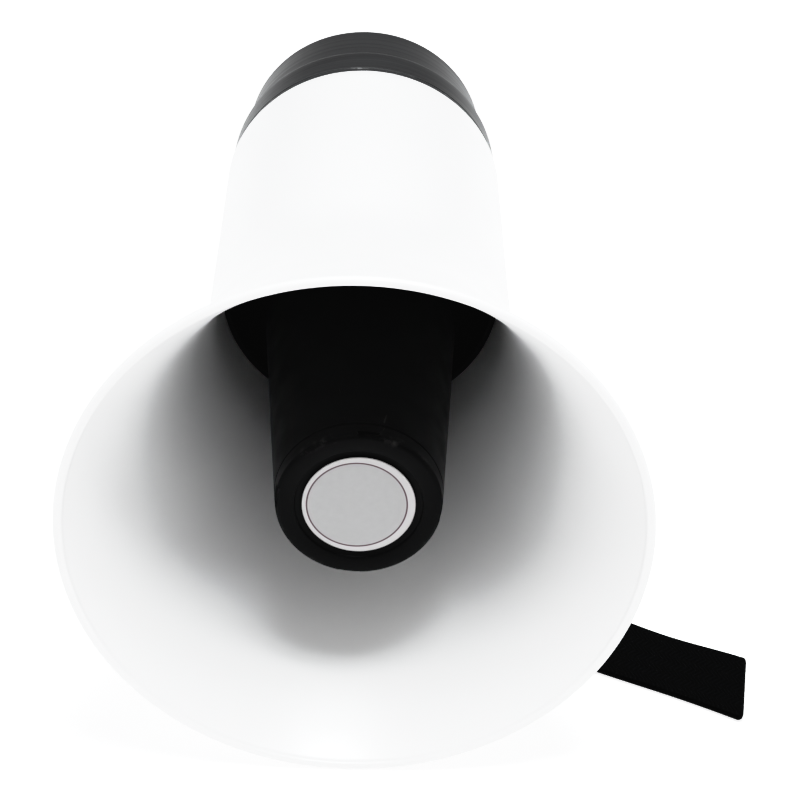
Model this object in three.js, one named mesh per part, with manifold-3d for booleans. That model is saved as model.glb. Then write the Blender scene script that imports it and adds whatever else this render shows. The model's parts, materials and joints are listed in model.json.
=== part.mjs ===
// Handheld megaphone with a reflex horn, a pull-off battery cap and a folding grip.
// Millimetres, +Z up. The horn axis runs along Y and the mouth looks towards -Y.
// The part lies on its bell and on its folded grip, which both touch z = 0.
import * as THREE from 'three';
import { mergeVertices } from 'three/addons/utils/BufferGeometryUtils.js';
import Module from 'manifold-3d';

const wasm = await Module();
wasm.setup();

// ---------------------------------------------------------------- driving dimensions
const GAP = 0.3;                 // clearance between pieces that touch
const LENGTH = 235;              // mouth to rear end
const ROUND = 40;                // facets round the large turned shells
const ROUND_SMALL = 20;          // facets round small turned pieces

// bell and barrel
const BELL_R = 80;               // outside of the rolled rim
const RIM_R = 1.3;               // radius of the rolled rim
const BELL_WALL = 2.2;
const FLARE_END = 109.3;         // where the flare runs into the barrel
const FLARE_POWER = 1.75;
const BARREL_FRONT_R = 45.1;
const BARREL_REAR_R = 43.95;
const CAP_LENGTH = 42.2;         // rear cap behind the barrel
const BARREL_END = LENGTH - CAP_LENGTH;
const BARREL_BORE_R = 41.2;
const THROAT_R = 42.4;           // inside of the bell where it meets the throat bowl
const THROAT_AT = 127.7;
const LEDGE_AT = 134;            // the bowl seats against a ledge in the barrel

// reflex horn
const BOWL_WALL = 2;
const BOWL_FLOOR_AT = 141.5;
const TUBE_R = 10;
const TUBE_TIP_R = 8.5;
const TUBE_WALL = 1.6;
const TUBE_FRONT = 44;
const CUP_FRONT = 15.7;
const CUP_REAR = 105.4;
const CUP_FRONT_R = 22.7;
const CUP_REAR_R = 28.1;
const CUP_WALL = 2;
const CUP_CAP_DEPTH = 5.5;
const CUP_LEAN = 0.0075;         // radians: the long tone tube stands slightly off the axis
const LABEL_R = 15.4;
const LABEL_THICK = 0.3;
const LABEL_RECESS_R = 17.4;
const LABEL_RECESS = 0.9;
const NOTCH_COUNT = 4;
const NOTCH_WIDTH = 5.6;
const NOTCH_TURN = -0.1;         // radians from +X to the first notch

// horn driver
const DRIVER_R = 29;
const DRIVER_FRONT = 148.6;
const DRIVER_FRAME = 5.9;
const COIL_R = 12.9;
const COIL_THICK = 0.6;
const COIL_CLEAR = 0.4;          // air gap each side of the coil
const PLATE_THICK = 2.5;
const MAGNET_THICK = 5.5;
const DIAPHRAGM_ROOM = 2.8;
const DIAPHRAGM_THICK = 0.4;
const DOME_CURVE = 32;
const DRIVER_SCREW_RING = 25.5;
const DRIVER_SCREWS = 3;
const TUBE_FLANGE = [14, 1.9];     // radius and thickness of the tone tube's rear flange

// rear cap
const CAP_BAND_R = 43.5;         // front edge of the cap's gripping band
const CAP_BAND = 16;             // width of that band
const CAP_RIDGE_AT = BARREL_END + CAP_BAND;
const CAP_RIDGE_R = 42.75;
const CAP_NECK = [41, 1.8];      // radius behind the band, and how far behind
const CAP_END_R = 38.8;
const CAP_WALL = 2.2;
const CAP_FILLET = 3.5;
const SPIGOT_LENGTH = 8;
const PANEL_DEPTH = 6;           // the control panel lies this far inside the rear rim
const PANEL_WALL = 2;
const PANEL_R = 33.5;
const CONTROL_RING = 26.5;        // from the axis to each control
const KNOB_R = 6.7;
const KNOB_STEM_R = 2.5;
const POT_R = 5.3;
const KNOB_HEIGHT = 5;
const MIC_R = 4.8;
const MIC_LENGTH = 6;
const GRILLE_R = 10;
const GRILLE_THICK = 1.4;
const SLIDER_TRAVEL = 6;
const BUTTON_R = 4.2;
const BUTTON_STROKE = 1;

// batteries
const CELL_R = 13.1;
const CELL_LENGTH = 50;
const CELL_PITCH = CELL_R + 1.1;  // each cell's offset from the axis in X and Z
const TRAY_R = 35.5;
const TRAY_PLATE = 1.8;
const TRAY_WEB = 1.4;
const CONTACT_THICK = 0.5;
const CONTACT_HALF = 4;
const BOARD_THICK = 1.6;
const BOARD_R = 33;

// folding grip
const HINGE_AT = 173;            // station of the hinge axis along the horn
const GRIP_HEIGHT = 25;          // palm side to finger side
const GRIP_TOP_DROP = BELL_R - GRIP_HEIGHT;   // finger side below the horn axis, folded
const HINGE_DROP = GRIP_TOP_DROP + 9;         // hinge axis below the horn axis
const KNUCKLE_R = 9.5;
const GRIP_HALF = 15;             // half of the grip's width
const KNUCKLE_HALF = GRIP_HALF - 3.3;
const EAR_THICK = 3.7;
const PIN_R = 2.5;
const PIN_CLEAR = 0.05;
const BLOCK_FRONT = 156;
const BLOCK_REAR = 187;
const BLOCK_SCREW_INSET = 5.5;
const BLOCK_SCREW_LENGTH = 9;
const GRIP_END = 62;             // station of the grip's free end when folded
const GRIP_CORNER = 8;
const GRIP_WALL = 2.2;
const NECK_AT = 159;             // the grip narrows between the ears behind this station
const TRIGGER_HALF = 7;
const TRIGGER_FRONT = 128;
const TRIGGER_PIVOT_AT = 152;
const TRIGGER_PIVOT_DROP = GRIP_TOP_DROP + 8;
const TRIGGER_PROUD = 4.6;
const TRIGGER_DEPTH = 4;         // how far the trigger reaches below the grip's finger wall
const TRIGGER_PIN_R = 1.5;
const GRIP_SCREWS = [148, 104, 66.5];
const BOSS_R = 3.4;
const SCREW_R = 1.3;
const SCREW_HEAD_R = 2.7;

// wrist strap: doubled webbing that leaves the grip's side and lies on the floor
const STRAP_WIDTH = 23;
const STRAP_THICK = 3.4;
const STRAP_LIFT = 2.6;          // height of its underside where it leaves the grip
const STRAP_SIDE_CLEAR = 2.1;    // each side of it in the grip's slot
const STRAP_SLANT = 0.14;        // how far its far end is cut off square, per mm of width
const STRAP_SLANT_FROM = 60;     // x where the slant begins
// x, station and height of the underside along the strap's middle
const STRAP_ROUTE = [
  [5, 84.4, STRAP_LIFT], [10, 84.0, STRAP_LIFT], [16, 83.2, STRAP_LIFT], [22, 81.9, 1.6],
  [28, 80.2, 0.6], [34, 78.0, 0.2], [41, 75.0, 0.2], [48, 71.8, 0.2], [55, 68.5, 0.2],
  [62, 65.0, 0.2], [70, 61.0, 0.2], [78, 56.9, 0.2], [86, 52.8, 0.2], [94, 48.7, 0.2],
  [102, 44.6, 0.2], [110, 40.5, 0.2], [115.6, 37.6, 0.2],
];

// ---------------------------------------------------------------- derived sizes
const AXIS_Z = BELL_R;                        // the rim's lowest point touches z = 0
const FLOOR = -AXIS_Z;                        // the same floor, measured from the horn axis
const PANEL_AT = LENGTH - PANEL_DEPTH;        // outer face of the control panel
const PANEL_INNER = PANEL_AT - PANEL_WALL;
const BOARD_AT = PANEL_INNER - GAP - BOARD_THICK;
const TRAY_REAR = BOARD_AT - GAP;
const CELL_REAR = TRAY_REAR - TRAY_PLATE - CONTACT_THICK - 2 * GAP;
const CELL_FRONT = CELL_REAR - CELL_LENGTH;
const TRAY_FRONT = CELL_FRONT - 2 * GAP - CONTACT_THICK - TRAY_PLATE;
const FRONT_CONTACT = TRAY_FRONT + TRAY_PLATE + GAP;
const REAR_CONTACT = TRAY_REAR - TRAY_PLATE - GAP - CONTACT_THICK;
const TOP_PLATE_AT = DRIVER_FRONT + DRIVER_FRAME + DIAPHRAGM_ROOM;
const MAGNET_AT = TOP_PLATE_AT + PLATE_THICK + GAP;
const BACK_PLATE_AT = MAGNET_AT + MAGNET_THICK + GAP;
const EAR_INNER = KNUCKLE_HALF + GAP;
const EAR_OUTER = EAR_INNER + EAR_THICK;

// ---------------------------------------------------------------- solids
function toSolid(geometry) {
  const bare = geometry.index ? geometry.toNonIndexed() : geometry.clone();
  bare.deleteAttribute('normal');
  bare.deleteAttribute('uv');
  const merged = mergeVertices(bare, 1e-4);
  const vertProperties = new Float32Array(merged.attributes.position.array);
  const corners = [...merged.index.array];
  const triVerts = [];
  for (let i = 0; i < corners.length; i += 3) {
    const [a, b, c] = corners.slice(i, i + 3);
    if (a !== b && b !== c && c !== a) triVerts.push(a, b, c);
  }
  return new wasm.Manifold(
    new wasm.Mesh({ numProp: 3, vertProperties, triVerts: new Uint32Array(triVerts) }));
}

function toGeometry(solid) {
  const { vertProperties, triVerts } = solid.getMesh();
  const geometry = new THREE.BufferGeometry();
  geometry.setAttribute('position', new THREE.BufferAttribute(new Float32Array(vertProperties), 3));
  geometry.setIndex([...triVerts]);
  geometry.computeVertexNormals();
  return geometry;
}

// A profile of [radius, station] points turned about the horn axis. Its points run either way.
function turned(profile, facets = ROUND) {
  const points = profile.map(([r, s]) => new THREE.Vector2(r, s));
  if (THREE.ShapeUtils.area(points) < 0) points.reverse();
  const onAxis = points.findIndex((p, i) => p.x === 0 && points[(i + 1) % points.length].x === 0);
  if (onAxis >= 0) {
    const start = (onAxis + 1) % points.length;
    const open = [...points.slice(start), ...points.slice(0, start)];
    return toSolid(new THREE.LatheGeometry(open, facets));
  }
  return toSolid(new THREE.LatheGeometry([...points, points[0].clone()], facets));
}

// A block between two corners, in the horn's frame.
function block([x0, x1], [y0, y1], [z0, z1]) {
  const geometry = new THREE.BoxGeometry(x1 - x0, y1 - y0, z1 - z0);
  geometry.translate((x0 + x1) / 2, (y0 + y1) / 2, (z0 + z1) / 2);
  return toSolid(geometry);
}

// A round bar along X, Y or Z from one station to another.
function bar(axis, radius, from, to, [u, v] = [0, 0], facets = 24) {
  const geometry = new THREE.CylinderGeometry(radius, radius, to - from, facets);
  geometry.translate(0, (from + to) / 2, 0);
  if (axis === 'x') geometry.rotateZ(-Math.PI / 2).translate(0, u, v);
  if (axis === 'y') geometry.translate(u, 0, v);
  if (axis === 'z') geometry.rotateX(Math.PI / 2).translate(u, v, 0);
  return toSolid(geometry);
}

// An outline of [a, b] points pushed along X (a is the station, b the height).
function sideways(outline, x0, x1) {
  const shape = new THREE.Shape(outline.map(([a, b]) => new THREE.Vector2(a, b)));
  const geometry = new THREE.ExtrudeGeometry(shape, { depth: x1 - x0, bevelEnabled: false });
  geometry.applyMatrix4(new THREE.Matrix4().set(0, 0, 1, x0, 1, 0, 0, 0, 0, 1, 0, 0, 0, 0, 0, 1));
  return toSolid(geometry);
}

// An outline of [x, z] points pushed along the horn axis.
function lengthways(outline, y0, y1) {
  const shape = new THREE.Shape(outline.map(([a, b]) => new THREE.Vector2(a, b)));
  const geometry = new THREE.ExtrudeGeometry(shape, { depth: y1 - y0, bevelEnabled: false });
  geometry.rotateX(Math.PI / 2).translate(0, y1, 0);
  return toSolid(geometry);
}

function roundedRectangle(halfWidth, bottom, top, corner, steps = 5) {
  const centres = [
    [halfWidth - corner, top - corner, 0], [corner - halfWidth, top - corner, 1],
    [corner - halfWidth, bottom + corner, 2], [halfWidth - corner, bottom + corner, 3],
  ];
  return centres.flatMap(([cx, cz, quarter]) => Array.from({ length: steps + 1 }, (_, i) => {
    const angle = (quarter + i / steps) * Math.PI / 2;
    return [cx + corner * Math.cos(angle), cz + corner * Math.sin(angle)];
  }));
}

function arc(centreR, centreS, radius, from, to, steps) {
  return Array.from({ length: steps + 1 }, (_, i) => {
    const angle = from + (to - from) * i / steps;
    return [centreR + radius * Math.cos(angle), centreS + radius * Math.sin(angle)];
  });
}

function join(first, ...others) {
  return others.reduce((whole, piece) => whole.add(piece), first);
}

function cut(first, ...others) {
  return others.reduce((whole, piece) => whole.subtract(piece), first);
}

function roundTheAxis(count, start, ring) {
  return Array.from({ length: count }, (_, i) => {
    const angle = start + i * 2 * Math.PI / count;
    return [ring * Math.cos(angle), ring * Math.sin(angle)];
  });
}

// ---------------------------------------------------------------- scene graph
const group = new THREE.Group();
const horn = new THREE.Group();               // origin on the horn axis in the mouth plane
horn.position.set(0, -LENGTH / 2, AXIS_Z);
group.add(horn);
const core = new THREE.Group();               // tone tube and cup, leaning about the bowl
core.position.set(0, BOWL_FLOOR_AT, 0);
core.rotation.z = CUP_LEAN;
horn.add(core);

const FINISH = {
  white: { color: 0xf6f8fa, roughness: 0.35, metalness: 0 },
  black: { color: 0x17181a, roughness: 0.45, metalness: 0 },
  cap: { color: 0x2b2c2f, roughness: 0.4, metalness: 0 },
  grey: { color: 0xbdbdbd, roughness: 0.5, metalness: 0 },
  red: { color: 0xa3171c, roughness: 0.4, metalness: 0 },
  steel: { color: 0x9a9da1, roughness: 0.3, metalness: 1 },
  ferrite: { color: 0x34353a, roughness: 0.7, metalness: 0.2 },
  copper: { color: 0xb06a3a, roughness: 0.4, metalness: 0.9 },
  board: { color: 0x1f6b3a, roughness: 0.6, metalness: 0 },
  tray: { color: 0x4a4c50, roughness: 0.6, metalness: 0 },
  cell: { color: 0x8f7a3c, roughness: 0.35, metalness: 0.3 },
  film: { color: 0xb58a4a, roughness: 0.5, metalness: 0 },
  webbing: { color: 0x101011, roughness: 0.9, metalness: 0 },
};

function add(name, solid, finish, parent = horn) {
  const mesh = new THREE.Mesh(toGeometry(solid), new THREE.MeshStandardMaterial(FINISH[finish]));
  mesh.name = name;
  if (parent === core) mesh.position.set(0, -BOWL_FLOOR_AT, 0);
  parent.add(mesh);
}

// ---------------------------------------------------------------- bell and barrel
function flare(station, mouthR, throatR) {
  const t = Math.max(0, (FLARE_END - station) / (FLARE_END - RIM_R));
  return throatR + (mouthR - throatR) * t ** FLARE_POWER;
}

const BELL_STATIONS = [5, 14, 26, 40, 56, 74, 92];

function barrelRadius(station) {
  const share = (station - FLARE_END) / (BARREL_END - FLARE_END);
  return BARREL_FRONT_R + (BARREL_REAR_R - BARREL_FRONT_R) * share;
}

function hornShell() {
  const mouthInner = BELL_R - 2 * RIM_R;
  const mouthOuter = mouthInner + BELL_WALL;
  const outside = BELL_STATIONS.map((s) => [flare(s, mouthOuter, BARREL_FRONT_R), s]);
  const inside = BELL_STATIONS.map((s) => [flare(s, mouthInner, THROAT_R), s]).reverse();
  const rim = arc(BELL_R - RIM_R, RIM_R, RIM_R, -Math.PI, Math.PI / 3, 8);
  const shell = turned([
    ...rim, ...outside, [BARREL_FRONT_R, FLARE_END], [BARREL_REAR_R, BARREL_END],
    [BARREL_BORE_R, BARREL_END], [BARREL_BORE_R, LEDGE_AT + GAP], [THROAT_R, LEDGE_AT + GAP],
    [THROAT_R, FLARE_END], ...inside,
  ]);
  const screwHoles = blockScrewStations().map((s) => bar(
    'z', SCREW_R + GAP, -BARREL_FRONT_R - 5, -BARREL_BORE_R + 5, [0, s], 16));
  return cut(shell, ...screwHoles);
}

// ---------------------------------------------------------------- reflex horn
function bowlFront(radius) {
  const edge = THROAT_R - GAP - BOWL_WALL;
  const share = Math.min(1, (edge - radius) / (edge - TUBE_R));
  return THROAT_AT + 1 + (BOWL_FLOOR_AT - THROAT_AT - 1) * Math.sqrt(1 - (1 - share) ** 2);
}

function throatBowl() {
  const edge = THROAT_R - GAP;
  const bore = TUBE_R + GAP;
  const radii = [edge - BOWL_WALL, 39, 36, 31, 24, 16, bore];
  const front = radii.map((r) => [r, bowlFront(r)]);
  const backCentre = BOWL_FLOOR_AT + BOWL_WALL + 2.5;
  const bowl = turned([
    [edge, THROAT_AT], [edge - BOWL_WALL, THROAT_AT], ...front, [bore, backCentre], [16, backCentre],
    [18, BOWL_FLOOR_AT + BOWL_WALL], [30, BOWL_FLOOR_AT + 1], [36, LEDGE_AT + 4],
    [BARREL_BORE_R - 1, LEDGE_AT], [edge, LEDGE_AT],
  ]);
  const bosses = roundTheAxis(DRIVER_SCREWS, Math.PI / 2, DRIVER_SCREW_RING).map((at) => bar(
    'y', BOSS_R, BOWL_FLOOR_AT + 0.8, DRIVER_FRONT - GAP, at, 16));
  const holes = roundTheAxis(DRIVER_SCREWS, Math.PI / 2, DRIVER_SCREW_RING).map((at) => bar(
    'y', SCREW_R + GAP, BOWL_FLOOR_AT + 2, DRIVER_FRONT + 1, at, 12));
  return cut(join(bowl, ...bosses), ...holes);
}

function tubeRadius(station) {
  const share = (station - TUBE_FRONT) / (BOWL_FLOOR_AT - 20 - TUBE_FRONT);
  return TUBE_TIP_R + (TUBE_R - TUBE_TIP_R) * Math.min(1, share);
}

function toneTube() {
  const rear = DRIVER_FRONT - 1.5 * GAP;
  const [flangeR, flangeThick] = TUBE_FLANGE;
  const flangeFront = rear - flangeThick;
  return turned([
    [TUBE_TIP_R, TUBE_FRONT], [TUBE_R, BOWL_FLOOR_AT - 20], [TUBE_R, flangeFront],
    [flangeR, flangeFront], [flangeR, rear], [TUBE_R - TUBE_WALL, rear],
    [TUBE_R - TUBE_WALL, BOWL_FLOOR_AT - 20], [TUBE_TIP_R - TUBE_WALL, TUBE_FRONT],
  ], ROUND_SMALL);
}

function cupRadius(station) {
  return CUP_FRONT_R + (CUP_REAR_R - CUP_FRONT_R) * (station - CUP_FRONT) / (CUP_REAR - CUP_FRONT);
}

// The cup's closed nose holds a cone that turns the sound back between tube and cup.
function reflectorCup() {
  const nose = CUP_FRONT + CUP_CAP_DEPTH + GAP;
  const inner = (s) => cupRadius(s) - CUP_WALL;
  return turned([
    [cupRadius(nose), nose], [cupRadius(CUP_REAR), CUP_REAR], [inner(CUP_REAR), CUP_REAR],
    [inner(nose + 10), nose + 10], [inner(nose + 6) - 2, nose + 6], [14, nose + 3.5],
    [6, nose + 5], [0, nose + 12], [0, nose],
  ]);
}

function cupSpider() {
  const hubFront = 62;
  const hubRear = 76;
  const hubBore = tubeRadius(hubRear) + GAP;
  const hub = turned([
    [hubBore, hubFront], [hubBore + 2, hubFront], [hubBore + 2, hubRear], [hubBore, hubRear],
  ], ROUND_SMALL);
  const reach = cupRadius(hubFront) - CUP_WALL - GAP;
  const ribs = [0, 1, 2, 3].map((i) => toSolid(new THREE.BoxGeometry(
    reach - hubBore - 1, hubRear - hubFront, 1.6).translate((reach + hubBore + 1) / 2,
    (hubFront + hubRear) / 2, 0).rotateY(i * Math.PI / 2 + Math.PI / 4)));
  return join(hub, ...ribs);
}

function cupFrontCap() {
  const rear = CUP_FRONT + CUP_CAP_DEPTH;
  const r = cupRadius(CUP_FRONT);
  const floor = CUP_FRONT + LABEL_RECESS;
  const cap = turned([
    [0, floor], [LABEL_RECESS_R, floor], [LABEL_RECESS_R, CUP_FRONT], [r - 0.8, CUP_FRONT],
    [r, CUP_FRONT + 0.8], [cupRadius(rear), rear], [0, rear],
  ]);
  const notches = Array.from({ length: NOTCH_COUNT }, (_, i) => {
    const geometry = new THREE.BoxGeometry(2, 4, NOTCH_WIDTH);
    geometry.translate(r + 0.5, CUP_FRONT, 0);
    return toSolid(geometry.rotateY(-NOTCH_TURN - i * 2 * Math.PI / NOTCH_COUNT));
  });
  return cut(cap, ...notches);
}

function labelDisc() {
  const rear = CUP_FRONT + LABEL_RECESS - GAP;
  return turned([[0, rear - LABEL_THICK], [LABEL_R, rear - LABEL_THICK], [LABEL_R, rear], [0, rear]]);
}

// ---------------------------------------------------------------- horn driver
function driverScrewPlaces() {
  return roundTheAxis(DRIVER_SCREWS, Math.PI / 2, DRIVER_SCREW_RING);
}

function driverFrame() {
  const rear = DRIVER_FRONT + DRIVER_FRAME;
  const throat = TUBE_R - TUBE_WALL;
  const ring = turned([
    [throat, DRIVER_FRONT], [DRIVER_R, DRIVER_FRONT], [DRIVER_R, rear], [COIL_R + 3, rear],
    [COIL_R + 2, rear - 2.5], [throat, rear - 3.5],
  ], 32);
  return cut(ring, ...driverScrewPlaces().map((at) => bar(
    'y', SCREW_R + GAP, DRIVER_FRONT - 1, rear + 1, at, 12)));
}

// Each long screw passes the plate stack and ends in a boss of the bowl.
function driverScrew(at) {
  const head = DRIVER_FRONT + DRIVER_FRAME + GAP;
  return join(bar('y', SCREW_R, BOWL_FLOOR_AT + 3, head + 0.5, at, 12),
    bar('y', SCREW_HEAD_R - 0.5, head, head + 1.6, at, 12));
}

function diaphragm() {
  const edgeAt = DRIVER_FRONT + DRIVER_FRAME + DIAPHRAGM_ROOM / 2;
  const rise = (r) => Math.sqrt(DOME_CURVE ** 2 - r ** 2) - Math.sqrt(DOME_CURVE ** 2 - COIL_R ** 2);
  const front = [0, 4, 8.5, COIL_R].map((r) => [r, edgeAt - rise(r)]);
  front.push([COIL_R + 6, edgeAt]);
  const back = front.map(([r, station]) => [r, station + DIAPHRAGM_THICK]).reverse();
  return turned([...front, ...back], ROUND_SMALL);
}

function voiceCoil() {
  const front = DRIVER_FRONT + DRIVER_FRAME + DIAPHRAGM_ROOM / 2 + DIAPHRAGM_THICK + GAP;
  const inner = COIL_R - COIL_THICK / 2;
  const outer = COIL_R + COIL_THICK / 2;
  return turned([[inner, front], [outer, front], [outer, front + 5.2], [inner, front + 5.2]], ROUND_SMALL);
}

function topPlate() {
  const bore = COIL_R + COIL_THICK / 2 + COIL_CLEAR;
  return plateRing(bore, DRIVER_R - 6.2, TOP_PLATE_AT, PLATE_THICK);
}

function plateRing(inner, outer, front, thick) {
  return turned([[inner, front], [outer, front], [outer, front + thick], [inner, front + thick]], 32);
}

function backPlate() {
  const pole = COIL_R - COIL_THICK / 2 - COIL_CLEAR;
  const rear = BACK_PLATE_AT + PLATE_THICK;
  return turned([
    [0, TOP_PLATE_AT + 0.4], [pole, TOP_PLATE_AT + 0.4], [pole, BACK_PLATE_AT],
    [DRIVER_R - 1, BACK_PLATE_AT], [DRIVER_R - 1, rear], [0, rear],
  ], 32);
}

// ---------------------------------------------------------------- rear cap and controls
const KNOB_AT = [0, -CONTROL_RING];
const SLIDER_AT = [0, CONTROL_RING];
const BUTTON_AT = [-CONTROL_RING, 0];
const CHIP_AT = [CONTROL_RING, 0];
const CAP_SCREW_ANGLES = [1.27, 2.88, 3.41];
const CAP_SCREW_RING = BOARD_R - 2.5;

function capScrewPlaces() {
  return CAP_SCREW_ANGLES.map((a) => [CAP_SCREW_RING * Math.cos(a), CAP_SCREW_RING * Math.sin(a)]);
}

function capRadius(station) {
  const [neckR, behind] = CAP_NECK;
  const neckAt = CAP_RIDGE_AT + behind;
  return neckR + (CAP_END_R - neckR) * (station - neckAt) / (LENGTH - CAP_FILLET - neckAt);
}

function rearCap() {
  const start = BARREL_END + GAP;
  const end = LENGTH - CAP_FILLET;
  const spigot = BARREL_BORE_R - GAP;
  const [neckR, behind] = CAP_NECK;
  const cap = turned([
    [CAP_BAND_R, start], [CAP_RIDGE_R, CAP_RIDGE_AT - 0.5], [CAP_RIDGE_R - 0.4, CAP_RIDGE_AT],
    [neckR, CAP_RIDGE_AT + behind], [CAP_END_R, end],
    ...arc(CAP_END_R - CAP_FILLET, end, CAP_FILLET, 0.25, Math.PI / 2, 4),
    [PANEL_R + 0.6, LENGTH], [PANEL_R, LENGTH - 0.6], [PANEL_R, PANEL_AT], [0, PANEL_AT],
    [0, PANEL_INNER], [capRadius(PANEL_INNER) - CAP_WALL, PANEL_INNER],
    [neckR - CAP_WALL, CAP_RIDGE_AT + behind],
    [spigot - CAP_WALL, start], [spigot - CAP_WALL, start - SPIGOT_LENGTH],
    [spigot - 0.6, start - SPIGOT_LENGTH], [spigot, start - SPIGOT_LENGTH + 1], [spigot, start],
  ]);
  const [sx, sz] = SLIDER_AT;
  const slot = block([sx - 2.3 - SLIDER_TRAVEL / 2, sx + 2.3 + SLIDER_TRAVEL / 2],
    [PANEL_INNER - 1, PANEL_AT + 1], [sz - 1.8, sz + 1.8]);
  return cut(cap, slot,
    bar('y', GRILLE_R + GAP, PANEL_AT - 0.8, PANEL_AT + 1, [0, 0], ROUND_SMALL),
    bar('y', MIC_R + GAP, PANEL_INNER - 1, PANEL_AT, [0, 0]),
    bar('y', KNOB_STEM_R + GAP, PANEL_INNER - 1, PANEL_AT + 1, KNOB_AT),
    bar('y', BUTTON_R + GAP, PANEL_INNER - 1, PANEL_AT + 1, BUTTON_AT));
}

function micGrille() {
  const front = PANEL_AT - 0.8 + GAP;
  const disc = turned([
    [0, front], [GRILLE_R, front], [GRILLE_R, front + GRILLE_THICK - 0.4],
    [GRILLE_R - 0.6, front + GRILLE_THICK], [0, front + GRILLE_THICK],
  ], ROUND_SMALL);
  const places = [[0, 0], ...roundTheAxis(6, 0, 3), ...roundTheAxis(8, 0, 6.2)];
  return cut(disc, ...places.map((at) => bar('y', 0.9, front - 1, front + 3, at, 6)));
}

function micCapsule() {
  const rear = BOARD_AT - GAP;
  return bar('y', MIC_R, rear - MIC_LENGTH, rear, [0, 0], 20);
}

function circuitBoard() {
  const board = bar('y', BOARD_R, BOARD_AT, BOARD_AT + BOARD_THICK, [0, 0], 32);
  return cut(board,
    bar('y', 1.5, BOARD_AT - 1, BOARD_AT + 3, [0, 0], 12),
    bar('y', KNOB_STEM_R + GAP, BOARD_AT - 1, BOARD_AT + 3, KNOB_AT),
    block([-5.6, 5.6], [BOARD_AT - 1, BOARD_AT + 3], [SLIDER_AT[1] - 2, SLIDER_AT[1] + 2]),
    bar('y', BUTTON_R + GAP, BOARD_AT - 1, BOARD_AT + 3, BUTTON_AT),
    ...capScrewPlaces().map((at) => bar('y', SCREW_R + GAP, BOARD_AT - 1, BOARD_AT + 3, at, 12)));
}

function volumeKnob() {
  const front = PANEL_AT + GAP;
  const [x, z] = KNOB_AT;
  const rear = front + KNOB_HEIGHT;
  const body = bar('y', KNOB_R - 0.6, front, rear, KNOB_AT, 24);
  const ribs = roundTheAxis(12, 0, KNOB_R - 0.7).map(([u, v]) => bar(
    'y', 0.7, front + 0.4, rear - 0.6, [x + u, z + v], 6));
  const pointer = block([x - 0.5, x + 0.5], [rear - 0.5, rear + 1], [z + 2, z + KNOB_R]);
  const stem = bar('y', KNOB_STEM_R, BOARD_AT + 0.2, front + 0.5, KNOB_AT);
  return cut(join(body, ...ribs, stem), pointer);
}

function volumePot() {
  const rear = BOARD_AT - GAP;
  return bar('y', POT_R, rear - 7, rear, KNOB_AT, 24);
}

function slideSwitch() {
  const rear = BOARD_AT - GAP;
  const z = SLIDER_AT[1] + 1.5;
  return block([-5.4, 5.4], [rear - 5, rear], [z - 3, z + 3]);
}

// The slider rests at its first position and moves towards +X.
function modeSlider() {
  const x = SLIDER_AT[0] - SLIDER_TRAVEL / 2;
  const z = SLIDER_AT[1];
  const front = PANEL_AT + GAP;
  const cap = block([x - 3.4, x + 3.4], [front, front + 1.6], [z - 2.6, z + 2.6]);
  const grips = [-2, 0, 2].map((u) => block(
    [x + u - 0.4, x + u + 0.4], [front + 1.4, front + 2.4], [z - 2.6, z + 2.6]));
  const stem = block([x - 2, x + 2], [PANEL_INNER - 0.4, front + 0.5], [z - 1.4, z + 1.4]);
  return join(cap, stem, ...grips);
}

function recordButton() {
  const front = PANEL_INNER - 0.4;
  return join(bar('y', BUTTON_R, front, PANEL_AT + 2.2, BUTTON_AT, 28),
    bar('y', BUTTON_R - 0.6, front, PANEL_AT + 2.8, BUTTON_AT, 28));
}

function tactSwitch() {
  const rear = BOARD_AT - GAP;
  const [x, z] = BUTTON_AT;
  return join(block([x - 3, x + 3], [rear - 3.5, rear], [z - 3, z + 3]),
    bar('y', 1.5, rear - 1, PANEL_INNER - 0.4 - GAP - BUTTON_STROKE, BUTTON_AT, 12));
}

function heatSink() {
  const rear = BOARD_AT - GAP;
  const [x, z] = CHIP_AT;
  const base = block([x - 1, x + 1.2], [rear - 12, rear], [z - 7, z + 7]);
  const fins = [-6, -2, 2, 6].map((v) => block(
    [x + 1, x + 5], [rear - 12, rear], [z + v - 0.6, z + v + 0.6]));
  return join(base, ...fins);
}

function powerChip() {
  const rear = BOARD_AT - GAP;
  const [x, z] = CHIP_AT;
  return block([x - 1 - GAP - 2, x - 1 - GAP], [rear - 8, rear], [z - 4, z + 4]);
}

// Clamps the tray's rear plate and the board to the panel.
function capScrew(at) {
  const head = TRAY_REAR - TRAY_PLATE - GAP;
  return join(bar('y', SCREW_R, head - 0.5, PANEL_INNER - GAP, at, 12),
    bar('y', SCREW_HEAD_R - 0.4, head - 1.6, head, at, 12));
}

// ---------------------------------------------------------------- batteries
const CELL_PLACES = [[1, 1], [-1, 1], [-1, -1], [1, -1]].map(([a, b]) => [a * CELL_PITCH, b * CELL_PITCH]);

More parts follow.
